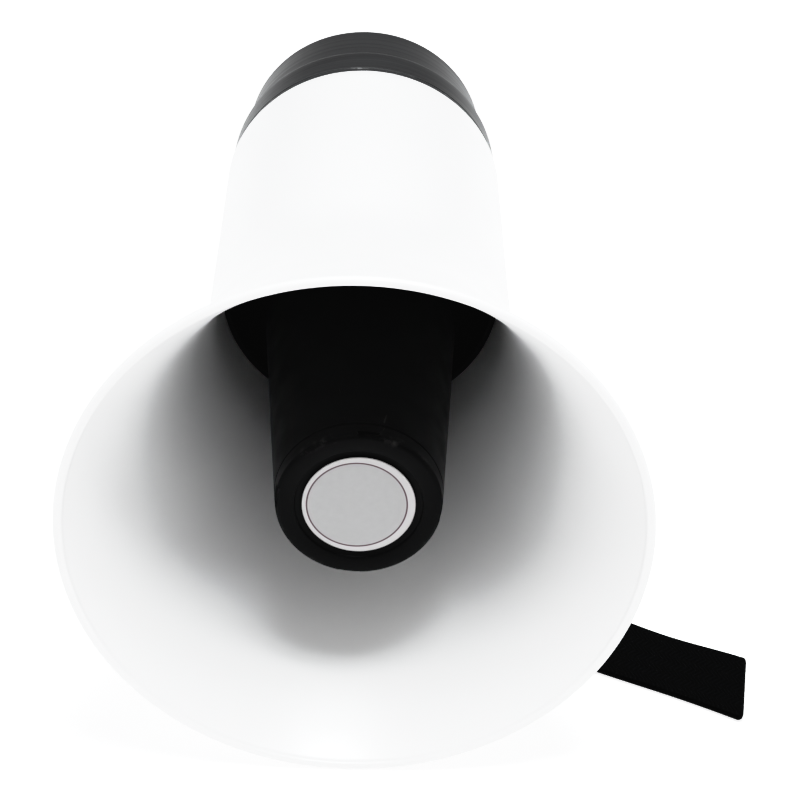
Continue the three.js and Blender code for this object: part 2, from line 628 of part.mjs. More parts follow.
function batteryTray() {
  const half = TRAY_WEB / 2;
  const reach = CELL_PITCH + CONTACT_HALF + 3.8;
  const front = turned([[0, TRAY_FRONT], [TRAY_R, TRAY_FRONT], [TRAY_R, TRAY_FRONT + TRAY_PLATE],
    [0, TRAY_FRONT + TRAY_PLATE]], 32);
  const rear = turned([[0, TRAY_REAR - TRAY_PLATE], [TRAY_R, TRAY_REAR - TRAY_PLATE],
    [TRAY_R, TRAY_REAR], [0, TRAY_REAR]], 32);
  const span = [TRAY_FRONT + 0.5, TRAY_REAR - 0.5];
  const body = join(front, rear, block([-half, half], span, [-reach, reach]),
    block([-reach, reach], span, [-half, half]));
  const back = [TRAY_REAR - 14, TRAY_REAR + 1];
  return cut(body,
    bar('y', MIC_R + GAP, TRAY_REAR - MIC_LENGTH - 2, TRAY_REAR + 1, [0, 0], 20),
    bar('y', POT_R + GAP, back[0], back[1], KNOB_AT, 24),
    block([-5.8, 5.8], back, [SLIDER_AT[1] - 2, SLIDER_AT[1] + 5]),
    block([BUTTON_AT[0] - 3.4, BUTTON_AT[0] + 3.4], back, [-3.4, 3.4]),
    block([CHIP_AT[0] - 3.8, CHIP_AT[0] + 6], back, [-7.4, 7.4]),
    ...capScrewPlaces().map((at) => bar('y', SCREW_R + GAP, back[0], back[1], at, 12)),
    ...[-1, 1].flatMap((side) => [contactPocket(side * CELL_PITCH, 0, FRONT_CONTACT),
      contactPocket(0, side * CELL_PITCH, REAR_CONTACT)]));
}

function cell([x, z], forward) {
  const nub = 1.6;
  const body = CELL_LENGTH - nub;
  const profile = forward
    ? [[0, CELL_FRONT], [3, CELL_FRONT], [3, CELL_FRONT + nub], [CELL_R - 0.8, CELL_FRONT + nub],
      [CELL_R, CELL_FRONT + nub + 0.8], [CELL_R, CELL_REAR], [0, CELL_REAR]]
    : [[0, CELL_FRONT], [CELL_R, CELL_FRONT], [CELL_R, CELL_FRONT + body - 0.8],
      [CELL_R - 0.8, CELL_FRONT + body], [3, CELL_FRONT + body], [3, CELL_REAR], [0, CELL_REAR]];
  return turned(profile, 28).translate([x, 0, z]);
}

// A strip that joins two neighbouring cells at one end of the tray.
function contactStrip(x, z, station, spare = 0) {
  const long = CELL_PITCH + CONTACT_HALF + spare;
  const short = CONTACT_HALF + spare;
  const [halfX, halfZ] = x === 0 ? [long, short] : [short, long];
  return block([x - halfX, x + halfX], [station - spare, station + CONTACT_THICK + spare],
    [z - halfZ, z + halfZ]);
}

// The room that a strip needs in the tray's web.
function contactPocket(x, z, station) {
  return contactStrip(x, z, station, GAP - 0.01);
}

// ---------------------------------------------------------------- folding grip
function blockScrewStations() {
  return [BLOCK_FRONT + BLOCK_SCREW_INSET, BLOCK_REAR - BLOCK_SCREW_INSET];
}

function hingeBlock() {
  const top = -(BARREL_REAR_R - 4);
  const saddle = turned([
    [0, BLOCK_FRONT - 1], [barrelRadius(BLOCK_FRONT - 1) + GAP, BLOCK_FRONT - 1],
    [barrelRadius(BLOCK_REAR + 1) + GAP, BLOCK_REAR + 1], [0, BLOCK_REAR + 1],
  ], ROUND);
  const underside = -(HINGE_DROP - KNUCKLE_R - GAP - 0.6);
  const base = block([-EAR_OUTER, EAR_OUTER], [BLOCK_FRONT, BLOCK_REAR], [underside, top]);
  const ear = [
    ...arc(HINGE_AT, -HINGE_DROP, KNUCKLE_R, -Math.PI, 0, 10),
    [HINGE_AT + KNUCKLE_R, underside + 1], [HINGE_AT - KNUCKLE_R, underside + 1],
  ];
  const ears = [[-EAR_OUTER, -EAR_INNER], [EAR_INNER, EAR_OUTER]].map(([a, b]) => sideways(ear, a, b));
  return cut(join(base, ...ears), saddle,
    bar('x', PIN_R + PIN_CLEAR, -EAR_OUTER - 1, EAR_OUTER + 1, [HINGE_AT, -HINGE_DROP]),
    ...blockScrewStations().map((s) => bar(
      'z', SCREW_R + 0.25, -BARREL_BORE_R - BLOCK_SCREW_LENGTH, -BARREL_BORE_R + 5, [0, s], 12)));
}

function blockScrew(station) {
  const seat = -(BARREL_BORE_R - 0.6);
  return join(bar('z', SCREW_R, seat - BLOCK_SCREW_LENGTH + 2, seat + 1, [0, station], 12),
    bar('z', SCREW_HEAD_R, seat + 0.8, seat + 2.4, [0, station], 12));
}

function hingePin() {
  return bar('x', PIN_R, -EAR_OUTER + 0.5, EAR_OUTER - 0.5, [HINGE_AT, -HINGE_DROP], 20);
}

// The grip's side view: flat palm side, three finger swells, round end and hinge knuckle.
function gripSide(inset) {
  const palm = FLOOR + inset;
  const finger = -GRIP_TOP_DROP - inset;
  const end = GRIP_END + inset;
  const corner = 9 - inset;
  const swells = Array.from({ length: 17 }, (_, i) => {
    const s = TRIGGER_FRONT - 4 - i * 2.75;
    return [s, finger - 0.9 + 0.9 * Math.cos((i / 16) * 4 * Math.PI)];
  });
  return [
    [NECK_AT - inset, finger], ...swells,
    ...arc(end + corner, finger - corner, corner, Math.PI / 2, Math.PI, 5),
    ...arc(end + corner, palm + corner, corner, Math.PI, 1.5 * Math.PI, 5),
    [NECK_AT - 8, palm], [NECK_AT - inset, palm + 4],
  ];
}

function gripSection(inset) {
  return roundedRectangle(GRIP_HALF - inset, FLOOR + inset, -GRIP_TOP_DROP - inset, GRIP_CORNER - inset);
}

function gripShell() {
  const outer = sideways(gripSide(0), -GRIP_HALF - 1, GRIP_HALF + 1)
    .intersect(lengthways(gripSection(0), GRIP_END - 5, NECK_AT + 5));
  const inner = sideways(gripSide(GRIP_WALL), -GRIP_HALF, GRIP_HALF)
    .intersect(lengthways(gripSection(GRIP_WALL), GRIP_END, NECK_AT));
  const knuckle = bar('x', KNUCKLE_R - 0.3, -KNUCKLE_HALF, KNUCKLE_HALF, [HINGE_AT, -HINGE_DROP], 32);
  const neck = sideways([
    [NECK_AT - 1, -GRIP_TOP_DROP - 0.5], [HINGE_AT, -GRIP_TOP_DROP], [HINGE_AT, -HINGE_DROP - 9],
    [NECK_AT - 1, FLOOR + 5],
  ], -KNUCKLE_HALF, KNUCKLE_HALF);
  const bosses = GRIP_SCREWS.map((s) => bar('x', BOSS_R, -GRIP_HALF + 1, GRIP_HALF - 1, gripScrewAt(s), 16));
  const hollow = cut(join(outer, knuckle, neck), inner);
  const whole = join(hollow, ...bosses);
  return cut(whole,
    bar('x', PIN_R + PIN_CLEAR, -KNUCKLE_HALF - 1, KNUCKLE_HALF + 1, [HINGE_AT, -HINGE_DROP]),
    triggerOpening(), strapSlot(),
    bar('x', TRIGGER_PIN_R + 0.1, -GRIP_HALF - 1, GRIP_HALF + 1,
      [TRIGGER_PIVOT_AT, -TRIGGER_PIVOT_DROP], 16));
}

function gripScrewAt(station) {
  return [station, -(GRIP_TOP_DROP + AXIS_Z) / 2 - 5];
}

function triggerOpening() {
  return block([-TRIGGER_HALF - 0.5, TRIGGER_HALF + 0.5], [TRIGGER_FRONT - 2, NECK_AT - 1.5],
    [-GRIP_TOP_DROP - GRIP_WALL - 1, -GRIP_TOP_DROP + 3]);
}

function strapSlot() {
  const [, station] = STRAP_ROUTE[1];
  const half = STRAP_WIDTH / 2 + STRAP_SIDE_CLEAR;
  const low = FLOOR + STRAP_LIFT - 0.4;
  return block([2, GRIP_HALF + 2], [station - half, station + half], [low, low + STRAP_THICK + 0.9]);
}

function gripHalf(side) {
  const far = GRIP_HALF + 5;
  const keep = side > 0 ? [GAP / 2, far] : [-far, -GAP / 2];
  const half = gripShell().intersect(block(keep, [GRIP_END - 5, HINGE_AT + 20], [FLOOR - 5, -40]));
  const holes = GRIP_SCREWS.flatMap((s) => {
    const at = gripScrewAt(s);
    if (side > 0) return [bar('x', SCREW_R + 0.2, -1, GRIP_HALF - 4, at, 12)];
    return [bar('x', SCREW_R + GAP, -GRIP_HALF - 1, 1, at, 12),
      bar('x', SCREW_HEAD_R + GAP, -GRIP_HALF - 1, -GRIP_HALF + 4, at, 16)];
  });
  return cut(half, ...holes);
}

function gripScrew(station) {
  const at = gripScrewAt(station);
  const seat = -GRIP_HALF + 4 - GAP;
  return join(bar('x', SCREW_R, seat - 0.5, GRIP_HALF - 5, at, 12),
    bar('x', SCREW_HEAD_R, seat - 2, seat, at, 16));
}

function trigger() {
  const top = -GRIP_TOP_DROP + TRIGGER_PROUD;
  const low = -GRIP_TOP_DROP - GRIP_WALL - TRIGGER_DEPTH;
  const outline = [
    [TRIGGER_PIVOT_AT + 4.5, low], [TRIGGER_PIVOT_AT + 4.5, -GRIP_TOP_DROP + 0.2],
    [TRIGGER_PIVOT_AT - 1, -GRIP_TOP_DROP + 1.2], [TRIGGER_PIVOT_AT - 7, -GRIP_TOP_DROP + 2.6],
    [TRIGGER_PIVOT_AT - 14, -GRIP_TOP_DROP + 3.2], [TRIGGER_FRONT + 4, top],
    [TRIGGER_FRONT + 1.6, top - 0.2], [TRIGGER_FRONT + 0.3, top - 1.4], [TRIGGER_FRONT, low],
  ];
  const knuckle = [
    ...arc(TRIGGER_PIVOT_AT, -TRIGGER_PIVOT_DROP, 3.6, -Math.PI, 0, 8),
    [TRIGGER_PIVOT_AT + 3.6, low + 1], [TRIGGER_PIVOT_AT - 3.6, low + 1],
  ];
  return cut(join(sideways(outline, -TRIGGER_HALF, TRIGGER_HALF), sideways(knuckle, -5, 5)),
    bar('x', TRIGGER_PIN_R + PIN_CLEAR, -TRIGGER_HALF - 1, TRIGGER_HALF + 1,
      [TRIGGER_PIVOT_AT, -TRIGGER_PIVOT_DROP], 16));
}

function triggerPin() {
  return bar('x', TRIGGER_PIN_R, -GRIP_HALF + 3, GRIP_HALF - 3, [TRIGGER_PIVOT_AT, -TRIGGER_PIVOT_DROP], 16);
}

function triggerSwitch() {
  const at = TRIGGER_FRONT;
  const top = -GRIP_TOP_DROP - GRIP_WALL - TRIGGER_DEPTH - 4.6;
  return join(block([-3.2, 3.2], [at - 1, at + 7.5], [top - 6, top]),
    block([-1.2, 1.2], [at + 1, at + 3], [top - 1, top + 0.9]));
}

function triggerSpring() {
  const low = FLOOR + GRIP_WALL + GAP;
  const high = -GRIP_TOP_DROP - GRIP_WALL - TRIGGER_DEPTH - GAP;
  const turns = 4;
  class Helix extends THREE.Curve {
    getPoint(t, target = new THREE.Vector3()) {
      const angle = t * turns * 2 * Math.PI;
      return target.set(2.6 * Math.cos(angle), 2.6 * Math.sin(angle), low + 0.4 + (high - low - 0.8) * t);
    }
  }
  const wire = new THREE.Shape().absarc(0, 0, 0.35, 0, 2 * Math.PI);
  const section = new THREE.Shape(wire.getPoints(3).slice(0, -1));
  const geometry = new THREE.ExtrudeGeometry(section, {
    steps: 40, extrudePath: new Helix(), bevelEnabled: false,
  });
  return toSolid(geometry.translate(0, TRIGGER_FRONT + 12, 0));
}

// ---------------------------------------------------------------- wrist strap
// Side view of the band, widened in Y so that its true width stays the same where it bends.
function wristStrap() {
  const route = STRAP_ROUTE.map(([x, s, lift]) => [x, s, FLOOR + lift]);
  const slope = (i) => {
    const [before, after] = [route[Math.max(0, i - 1)], route[Math.min(route.length - 1, i + 1)]];
    return (after[1] - before[1]) / (after[0] - before[0]);
  };
  const under = route.map(([x, , z]) => new THREE.Vector2(x, z));
  const over = route.map(([x, , z]) => new THREE.Vector2(x, z + STRAP_THICK)).reverse();
  const shape = new THREE.Shape([...under, ...over]);
  const band = new THREE.ExtrudeGeometry(shape, { depth: 1, bevelEnabled: false });
  band.rotateX(Math.PI / 2).translate(0, 0.5, 0);
  const position = band.attributes.position;
  for (let i = 0; i < position.count; i += 1) {
    const nearest = route.findIndex(([x]) => Math.abs(x - position.getX(i)) < 1e-3);
    const offset = position.getY(i) * STRAP_WIDTH * Math.hypot(1, slope(nearest));
    const reach = Math.max(0, route[nearest][0] - STRAP_SLANT_FROM);
    const slant = STRAP_SLANT * reach / (route.at(-1)[0] - STRAP_SLANT_FROM);
    position.setXYZ(i, position.getX(i) + slant * offset, route[nearest][1] + offset, position.getZ(i));
  }
  return toSolid(band);
}

// ---------------------------------------------------------------- assembly
add('horn_shell', hornShell(), 'white');
add('throat_bowl', throatBowl(), 'black');
add('tone_tube', toneTube(), 'black', core);
add('cup_spider', cupSpider(), 'black', core);
add('reflector_cup', reflectorCup(), 'black', core);
add('cup_front_cap', cupFrontCap(), 'black', core);
add('label_disc', labelDisc(), 'grey', core);

add('driver_frame', driverFrame(), 'tray');
add('diaphragm', diaphragm(), 'film');
add('voice_coil', voiceCoil(), 'copper');
add('top_plate', topPlate(), 'steel');
add('ring_magnet', plateRing(COIL_R + 4, DRIVER_R, MAGNET_AT, MAGNET_THICK), 'ferrite');
add('back_plate', backPlate(), 'steel');
driverScrewPlaces().forEach((at, i) => add(`driver_screw_${i + 1}`, driverScrew(at), 'steel'));

add('rear_cap', rearCap(), 'cap');
add('mic_grille', micGrille(), 'black');
add('mic_capsule', micCapsule(), 'steel');
add('circuit_board', circuitBoard(), 'board');
add('volume_knob', volumeKnob(), 'black');
add('volume_pot', volumePot(), 'steel');
add('mode_slider', modeSlider(), 'grey');
add('slide_switch', slideSwitch(), 'steel');
add('record_button', recordButton(), 'red');
add('tact_switch', tactSwitch(), 'black');
add('power_chip', powerChip(), 'black');
add('heat_sink', heatSink(), 'steel');
capScrewPlaces().forEach((at, i) => add(`cap_screw_${i + 1}`, capScrew(at), 'steel'));

add('battery_tray', batteryTray(), 'tray');
CELL_PLACES.forEach((at, i) => add(`battery_cell_${i + 1}`, cell(at, i % 2 === 0), 'cell'));
[-1, 1].forEach((side, i) => {
  add(`front_contact_${i + 1}`, contactStrip(side * CELL_PITCH, 0, FRONT_CONTACT), 'steel');
  add(`rear_contact_${i + 1}`, contactStrip(0, side * CELL_PITCH, REAR_CONTACT), 'steel');
});

add('hinge_block', hingeBlock(), 'black');
blockScrewStations().forEach((s, i) => add(`block_screw_${i + 1}`, blockScrew(s), 'steel'));
add('hinge_pin', hingePin(), 'steel');
add('grip_left', gripHalf(-1), 'black');
add('grip_right', gripHalf(1), 'black');
GRIP_SCREWS.forEach((s, i) => add(`grip_screw_${i + 1}`, gripScrew(s), 'steel'));
add('trigger', trigger(), 'red');
add('trigger_pin', triggerPin(), 'steel');
add('trigger_switch', triggerSwitch(), 'tray');
add('trigger_spring', triggerSpring(), 'steel');
add('wrist_strap', wristStrap(), 'webbing');

export default group;
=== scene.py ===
import json
import math
import bmesh
import bpy
from mathutils import Matrix, Vector


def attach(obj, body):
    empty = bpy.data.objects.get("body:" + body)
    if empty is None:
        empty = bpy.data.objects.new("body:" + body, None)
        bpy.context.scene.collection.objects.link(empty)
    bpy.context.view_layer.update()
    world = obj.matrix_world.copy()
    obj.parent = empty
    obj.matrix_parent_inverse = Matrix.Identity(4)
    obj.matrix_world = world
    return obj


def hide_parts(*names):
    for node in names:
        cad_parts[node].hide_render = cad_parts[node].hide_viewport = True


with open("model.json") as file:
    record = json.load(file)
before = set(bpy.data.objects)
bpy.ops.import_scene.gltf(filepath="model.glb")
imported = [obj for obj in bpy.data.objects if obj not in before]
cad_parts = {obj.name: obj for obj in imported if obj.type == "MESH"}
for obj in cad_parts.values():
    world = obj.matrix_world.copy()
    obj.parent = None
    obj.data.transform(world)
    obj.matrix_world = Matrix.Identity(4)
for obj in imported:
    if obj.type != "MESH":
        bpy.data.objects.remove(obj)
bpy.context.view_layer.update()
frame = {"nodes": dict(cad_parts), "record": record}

MM = 0.001
LENGTH = 235.0
AXIS_Z = 80.0
FLOOR = -AXIS_Z
GAP = 0.3
HORN = Matrix.Translation((0, -LENGTH / 2 * MM, AXIS_Z * MM))

RIM_R = 1.3
MOUTH_R = 77.4
BELL_WALL = 2.2
FLARE_END = 109.3
FLARE_POWER = 1.75
BARREL_FRONT_R = 45.1
BARREL_REAR_R = 43.95
BARREL_END = 192.8
BARREL_BORE_R = 41.2
THROAT_R = 42.4
THROAT_AT = 127.7
LEDGE_AT = 134.0
BOWL_FLOOR_AT = 141.5
BOWL_WALL = 2.0
TUBE_R = 10.0
CUP_FRONT = 15.7
CUP_REAR = 105.4
CUP_FRONT_R = 22.7
CUP_REAR_R = 28.1
CUP_WALL = 2.0
CUP_CAP_DEPTH = 5.5
CUP_LEAN = 0.0075
LABEL_R = 15.4
LABEL_THICK = 0.3
LABEL_RECESS_R = 17.4
LABEL_RECESS = 0.9
NOTCH_TURN = -0.1
NOTCH_WIDTH = 5.6
CAP_BAND_R = 43.5
CAP_RIDGE_AT = 208.8
CAP_RIDGE_R = 42.75
CAP_NECK = (41.0, 1.8)
CAP_END_R = 38.8
CAP_FILLET = 3.5
PANEL_AT = LENGTH - 6
PANEL_R = 33.5
CONTROL_RING = 26.5
RECORD_BORE_R = 4.5
KNOB_BORE_R = 2.8
GRILLE_R = 10.0
HINGE_AT = 173.0
HINGE_DROP = 64.0
HINGE_PIN_BORE_R = 2.55
KNUCKLE_R = 9.5
KNUCKLE_HALF = 11.7
EAR_THICK = 3.7
BLOCK_FRONT = 156.0
BLOCK_REAR = 187.0
GRIP_END = 62.0
GRIP_HALF = 15.0
GRIP_TOP = -55.0
GRIP_WALL = 2.2
NECK_AT = 159.0
TRIGGER_FRONT = 128.0
TRIGGER_PIVOT = (152.0, -63.0)
TRIGGER_HALF = 7.0
TRIGGER_PROUD = 4.6
TRIGGER_DEPTH = 4.0
TRIGGER_PIN_BORE_R = 1.6
SPRING_AT = 140.0
SPRING_SEAT_HALF = 3.9
GRIP_SCREWS = (148.0, 104.0, 66.5)
GRIP_SCREW_DROP = 5.0
STRAP_WIDTH = 23.0
STRAP_THICK = 3.4
STRAP_SIDE_CLEAR = 2.1
STRAP_SLOT_AT = 84.0
STRAP_SLANT = 0.14
STRAP_SLANT_FROM = 60.0
STRAP_ROUTE = [
    (5, 84.4, 2.6), (10, 84.0, 2.6), (16, 83.2, 2.6), (22, 81.9, 1.6), (28, 80.2, 0.6),
    (34, 78.0, 0.2), (41, 75.0, 0.2), (48, 71.8, 0.2), (55, 68.5, 0.2), (62, 65.0, 0.2),
    (70, 61.0, 0.2), (78, 56.9, 0.2), (86, 52.8, 0.2), (94, 48.7, 0.2), (102, 44.6, 0.2),
    (110, 40.5, 0.2), (115.6, 37.6, 0.2),
]
# The cup and its label lean a little about the throat's floor.
CORE = HORN @ Matrix.Translation((0, BOWL_FLOOR_AT * MM, 0)) @ Matrix.Rotation(CUP_LEAN, 4, "Z") @ \
    Matrix.Translation((0, -BOWL_FLOOR_AT * MM, 0))


# ------------------------------------------------------------------------------- camera
camera = bpy.data.objects.new("camera", bpy.data.cameras.new("camera"))
bpy.context.collection.objects.link(camera)
camera.data.sensor_width = 36.0
camera.data.lens = 121.78
camera.data.clip_end = 60
right = Vector((0.99955986, 0.00058220, 0.02966053))
up = Vector((-0.0252557, 0.54123333, 0.84049309))
back = right.cross(up)
place = Vector((-0.000007, -0.700571, 0.499521))
camera.matrix_world = Matrix((
    (right.x, up.x, back.x, place.x), (right.y, up.y, back.y, place.y),
    (right.z, up.z, back.z, place.z), (0, 0, 0, 1)))
bpy.context.scene.camera = camera


# ------------------------------------------------------------------------------- meshes
def finish_mesh(obj, sharp=32):
    for polygon in obj.data.polygons:
        polygon.use_smooth = True
    obj.data.set_sharp_from_angle(angle=math.radians(sharp))


def mesh_object(name, verts, faces, matrix=HORN, sharp=32):
    mesh = bpy.data.meshes.new(name)
    mesh.from_pydata([tuple(c * MM for c in v) for v in verts], [], faces)
    work = bmesh.new()
    work.from_mesh(mesh)
    bmesh.ops.remove_doubles(work, verts=work.verts, dist=1e-7)
    bmesh.ops.recalc_face_normals(work, faces=work.faces)
    work.to_mesh(mesh)
    work.free()
    obj = bpy.data.objects.new(name, mesh)
    bpy.context.collection.objects.link(obj)
    obj.matrix_world = matrix
    finish_mesh(obj, sharp)
    return obj


def lathe(name, profile, segments=192, shape=None, matrix=HORN, sharp=32):
    """A closed profile of (radius, station) points turned about the horn axis."""
    verts, rings = [], []
    for r, s in profile:
        if r < 1e-6:
            rings.append([len(verts)])
            verts.append((0, s, 0))
            continue
        rings.append(list(range(len(verts), len(verts) + segments)))
        for k in range(segments):
            angle = 2 * math.pi * k / segments
            rr = shape(r, s, angle) if shape else r
            verts.append((rr * math.cos(angle), s, rr * math.sin(angle)))
    faces = []
    for one, two in zip(rings, rings[1:] + rings[:1]):
        if len(one) == 1 and len(two) == 1:
            continue
        for k in range(segments):
            j = (k + 1) % segments
            corners = [one[k % len(one)], one[j % len(one)], two[j % len(two)], two[k % len(two)]]
            faces.append(list(dict.fromkeys(corners)))
    return mesh_object(name, verts, faces, matrix, sharp)


AXES = {"x": lambda a, b, t: (t, a, b), "y": lambda a, b, t: (a, t, b), "z": lambda a, b, t: (a, b, t)}


def prism(name, outline, low, high, axis="x", matrix=HORN, bevel=0.0, steps=3):
    """An outline pushed along an axis, with rounded edges."""
    put = AXES[axis]
    n = len(outline)
    verts = [put(a, b, low) for a, b in outline] + [put(a, b, high) for a, b in outline]
    faces = [list(range(n)), list(range(n, 2 * n))]
    faces += [[i, (i + 1) % n, n + (i + 1) % n, n + i] for i in range(n)]
    obj = mesh_object(name, verts, faces, matrix)
    if bevel:
        round_edges(obj, bevel, steps)
    return obj


def circle(r, at=(0, 0), count=48):
    return [(at[0] + r * math.cos(2 * math.pi * i / count), at[1] + r * math.sin(2 * math.pi * i / count))
            for i in range(count)]


def box_outline(u, v):
    return [(u[0], v[0]), (u[1], v[0]), (u[1], v[1]), (u[0], v[1])]


def arc(cx, cy, r, start, end, steps):
    return [(cx + r * math.cos(start + (end - start) * i / steps),
             cy + r * math.sin(start + (end - start) * i / steps)) for i in range(steps + 1)]


def bake(obj, sharp=32):
    bpy.context.view_layer.update()
    made = bpy.data.meshes.new_from_object(obj.evaluated_get(bpy.context.evaluated_depsgraph_get()))
    obj.modifiers.clear()
    obj.data = made
    finish_mesh(obj, sharp)
    return obj


def round_edges(obj, width, steps=3, angle=35):
    bevel = obj.modifiers.new("bevel", "BEVEL")
    bevel.width = width * MM
    bevel.segments = steps
    bevel.limit_method = "ANGLE"
    bevel.angle_limit = math.radians(angle)
    bevel.use_clamp_overlap = True
    return bake(obj)


def carve(obj, *cutters, how="DIFFERENCE"):
    for cutter in cutters:
        modifier = obj.modifiers.new("carve", "BOOLEAN")
        modifier.operation = how
        modifier.solver = "EXACT"
        modifier.object = cutter
        bake(obj)
        bpy.data.objects.remove(cutter)
    return obj


def cut_bar(axis, r, low, high, at, count=48):
    return prism("cutter", circle(r, at, count), low, high, axis)


def cut_box(x, y, z):
    return prism("cutter", box_outline(y, z), x[0], x[1], "x")


# ------------------------------------------------------------------------------- materials
class Tree:
    """A material's nodes, in short form."""

    def __init__(self, name, base, rough, metal=0.0, **sockets):
        self.material = bpy.data.materials.new(name)
        self.material.use_nodes = True
        self.nodes = self.material.node_tree.nodes
        self.links = self.material.node_tree.links
        self.shader = self.nodes["Principled BSDF"]
        self.shader.inputs["Base Color"].default_value = (*base, 1)
        self.shader.inputs["Roughness"].default_value = rough
        self.shader.inputs["Metallic"].default_value = metal
        for socket, value in sockets.items():
            self.shader.inputs[socket.replace("_", " ")].default_value = value
        self.where = self.nodes.new("ShaderNodeTexCoord").outputs["Object"]

    def stretched(self, scale):
        mapping = self.nodes.new("ShaderNodeMapping")
        mapping.inputs["Scale"].default_value = scale
        self.links.new(self.where, mapping.inputs["Vector"])
        return mapping.outputs["Vector"]

    def noise(self, scale, detail=3.0, rough=0.5, stretch=None, at=None):
        node = self.nodes.new("ShaderNodeTexNoise")
        node.inputs["Scale"].default_value = scale
        node.inputs["Detail"].default_value = detail
        node.inputs["Roughness"].default_value = rough
        self.links.new(at or (self.stretched(stretch) if stretch else self.where), node.inputs["Vector"])
        return node.outputs["Fac"]

    def span(self, value, low, high, to_low=0.0, to_high=1.0):
        node = self.nodes.new("ShaderNodeMapRange")
        for key, number in zip((1, 2, 3, 4), (low, high, to_low, to_high)):
            node.inputs[key].default_value = number
        self.links.new(value, node.inputs[0])
        return node.outputs[0]

    def math(self, how, a, b=None):
        node = self.nodes.new("ShaderNodeMath")
        node.operation = how
        for socket, value in zip(node.inputs, (a, b)):
            if value is None:
                continue
            if isinstance(value, (int, float)):
                socket.default_value = value
            else:
                self.links.new(value, socket)
        return node.outputs[0]

    def parts(self, source=None):
        node = self.nodes.new("ShaderNodeSeparateXYZ")
        self.links.new(source or self.where, node.inputs[0])
        return node.outputs

    def radius(self):
        x, _, z = self.parts()
        return self.math("SQRT", self.math("ADD", self.math("MULTIPLY", x, x), self.math("MULTIPLY", z, z)))

    def mix(self, factor, one, two):
        node = self.nodes.new("ShaderNodeMix")
        node.data_type = "RGBA"
        self.links.new(factor, node.inputs[0])
        for socket, value in ((node.inputs[6], one), (node.inputs[7], two)):
            if isinstance(value, tuple):
                socket.default_value = (*value, 1)
            else:
                self.links.new(value, socket)
        return node.outputs[2]

    def colour(self, value):
        self.links.new(value, self.shader.inputs["Base Color"])

    def rough(self, value):
        self.links.new(value, self.shader.inputs["Roughness"])

    def bump(self, height, strength, distance):
        node = self.nodes.new("ShaderNodeBump")
        node.inputs["Strength"].default_value = strength
        node.inputs["Distance"].default_value = distance * MM
        self.links.new(height, node.inputs["Height"])
        if self.shader.inputs["Normal"].is_linked:
            self.links.new(self.shader.inputs["Normal"].links[0].from_socket, node.inputs["Normal"])
        self.links.new(node.outputs[0], self.shader.inputs["Normal"])


def moulded(name, base, rough, grain=1500, depth=0.03, vary=0.25, **sockets):
    """Moulded plastic: fine spark texture, uneven gloss and a little uneven colour."""
    tree = Tree(name, base, rough, **sockets)
    tree.rough(tree.span(tree.noise(60, 4), 0.3, 0.7, rough - 0.06, rough + 0.06))
    darker = tuple(c * (1 - vary) for c in base)
    tree.colour(tree.mix(tree.span(tree.noise(35, 3), 0.3, 0.7), darker, base))
    tree.bump(tree.noise(grain, 2), 0.5, depth)
    return tree


def white_plastic():
    tree = moulded("horn_white", (0.8, 0.796, 0.795), 0.34, 900, 0.01, 0.012, IOR=1.5)
    tree.bump(tree.noise(14, 2), 0.25, 0.3)
    return tree.material


def black_plastic():
    """Satin black with rubbed edges, thin scratches and dust specks towards the front."""
    tree = Tree("horn_black", (0.0034, 0.0034, 0.0036), 0.42, IOR=1.5, Specular_IOR_Level=0.05)
    station = tree.parts()[1]
    tree.rough(tree.span(tree.noise(90, 4), 0.3, 0.75, 0.34, 0.5))
    near_front = tree.span(station, (CUP_FRONT + 3.5) * MM, (CUP_FRONT + 0.2) * MM)
    patchy = tree.span(tree.noise(130, 5, 0.7), 0.56, 0.68)
    edge = tree.span(tree.radius(), (CUP_FRONT_R - 1.8) * MM, (CUP_FRONT_R - 0.4) * MM)
    rubbed = tree.math("MULTIPLY", tree.math("MULTIPLY", near_front, edge), patchy)
    lines = tree.noise(240, 2, 0.5, (1, 0.25, 9))
    thin = tree.span(lines, 0.735, 0.755)
    specks = tree.span(tree.noise(1900, 1, 0.4), 0.79, 0.82)
    front = tree.span(station, 60 * MM, 15 * MM)
    marks = tree.math("MULTIPLY", tree.math("MAXIMUM", thin, specks), tree.math("MULTIPLY", front, 0.8))
    wear = tree.math("MINIMUM", tree.math("MAXIMUM", rubbed, marks), 1.0)
    tree.colour(tree.mix(wear, (0.0034, 0.0034, 0.0036), (0.03, 0.029, 0.028)))
    tree.bump(tree.noise(1300, 2), 0.4, 0.02)
    return tree.material


def cap_plastic():
    """Dark grey rear cap: light rings left by the mould, chips and a painted highlight along the ridge."""
    tree = Tree("cap_black", (0.02, 0.02, 0.022), 0.4, IOR=1.5, Specular_IOR_Level=0.45)
    station = tree.parts()[1]
    rings = tree.noise(4, 3, 0.6, (1, 260, 1))
    tree.rough(tree.span(rings, 0.3, 0.7, 0.33, 0.47))
    streaks = tree.mix(tree.span(tree.noise(3, 4, 0.6, (6, 90, 6)), 0.35, 0.7),
                       (0.0108, 0.0108, 0.0112), (0.019, 0.0192, 0.0202))
    # Painted highlight: a broken bright line along the step near the band's front, where that edge catches
    # the light; partly real chips in the plastic.
    front_line = (BARREL_END + 2.6) * MM
    on_ridge = tree.span(tree.math("ABSOLUTE", tree.math("SUBTRACT", station, front_line)),
                         0.9 * MM, 0.5 * MM)
    chips_and_painted_highlight = tree.math("MULTIPLY", on_ridge, tree.span(tree.noise(170, 4, 0.7), 0.6, 0.68))
    tree.colour(tree.mix(chips_and_painted_highlight, streaks, (0.2, 0.2, 0.2)))
    tree.bump(tree.noise(1200, 2), 0.4, 0.02)
    tree.bump(rings, 0.07, 0.02)
    return tree.material


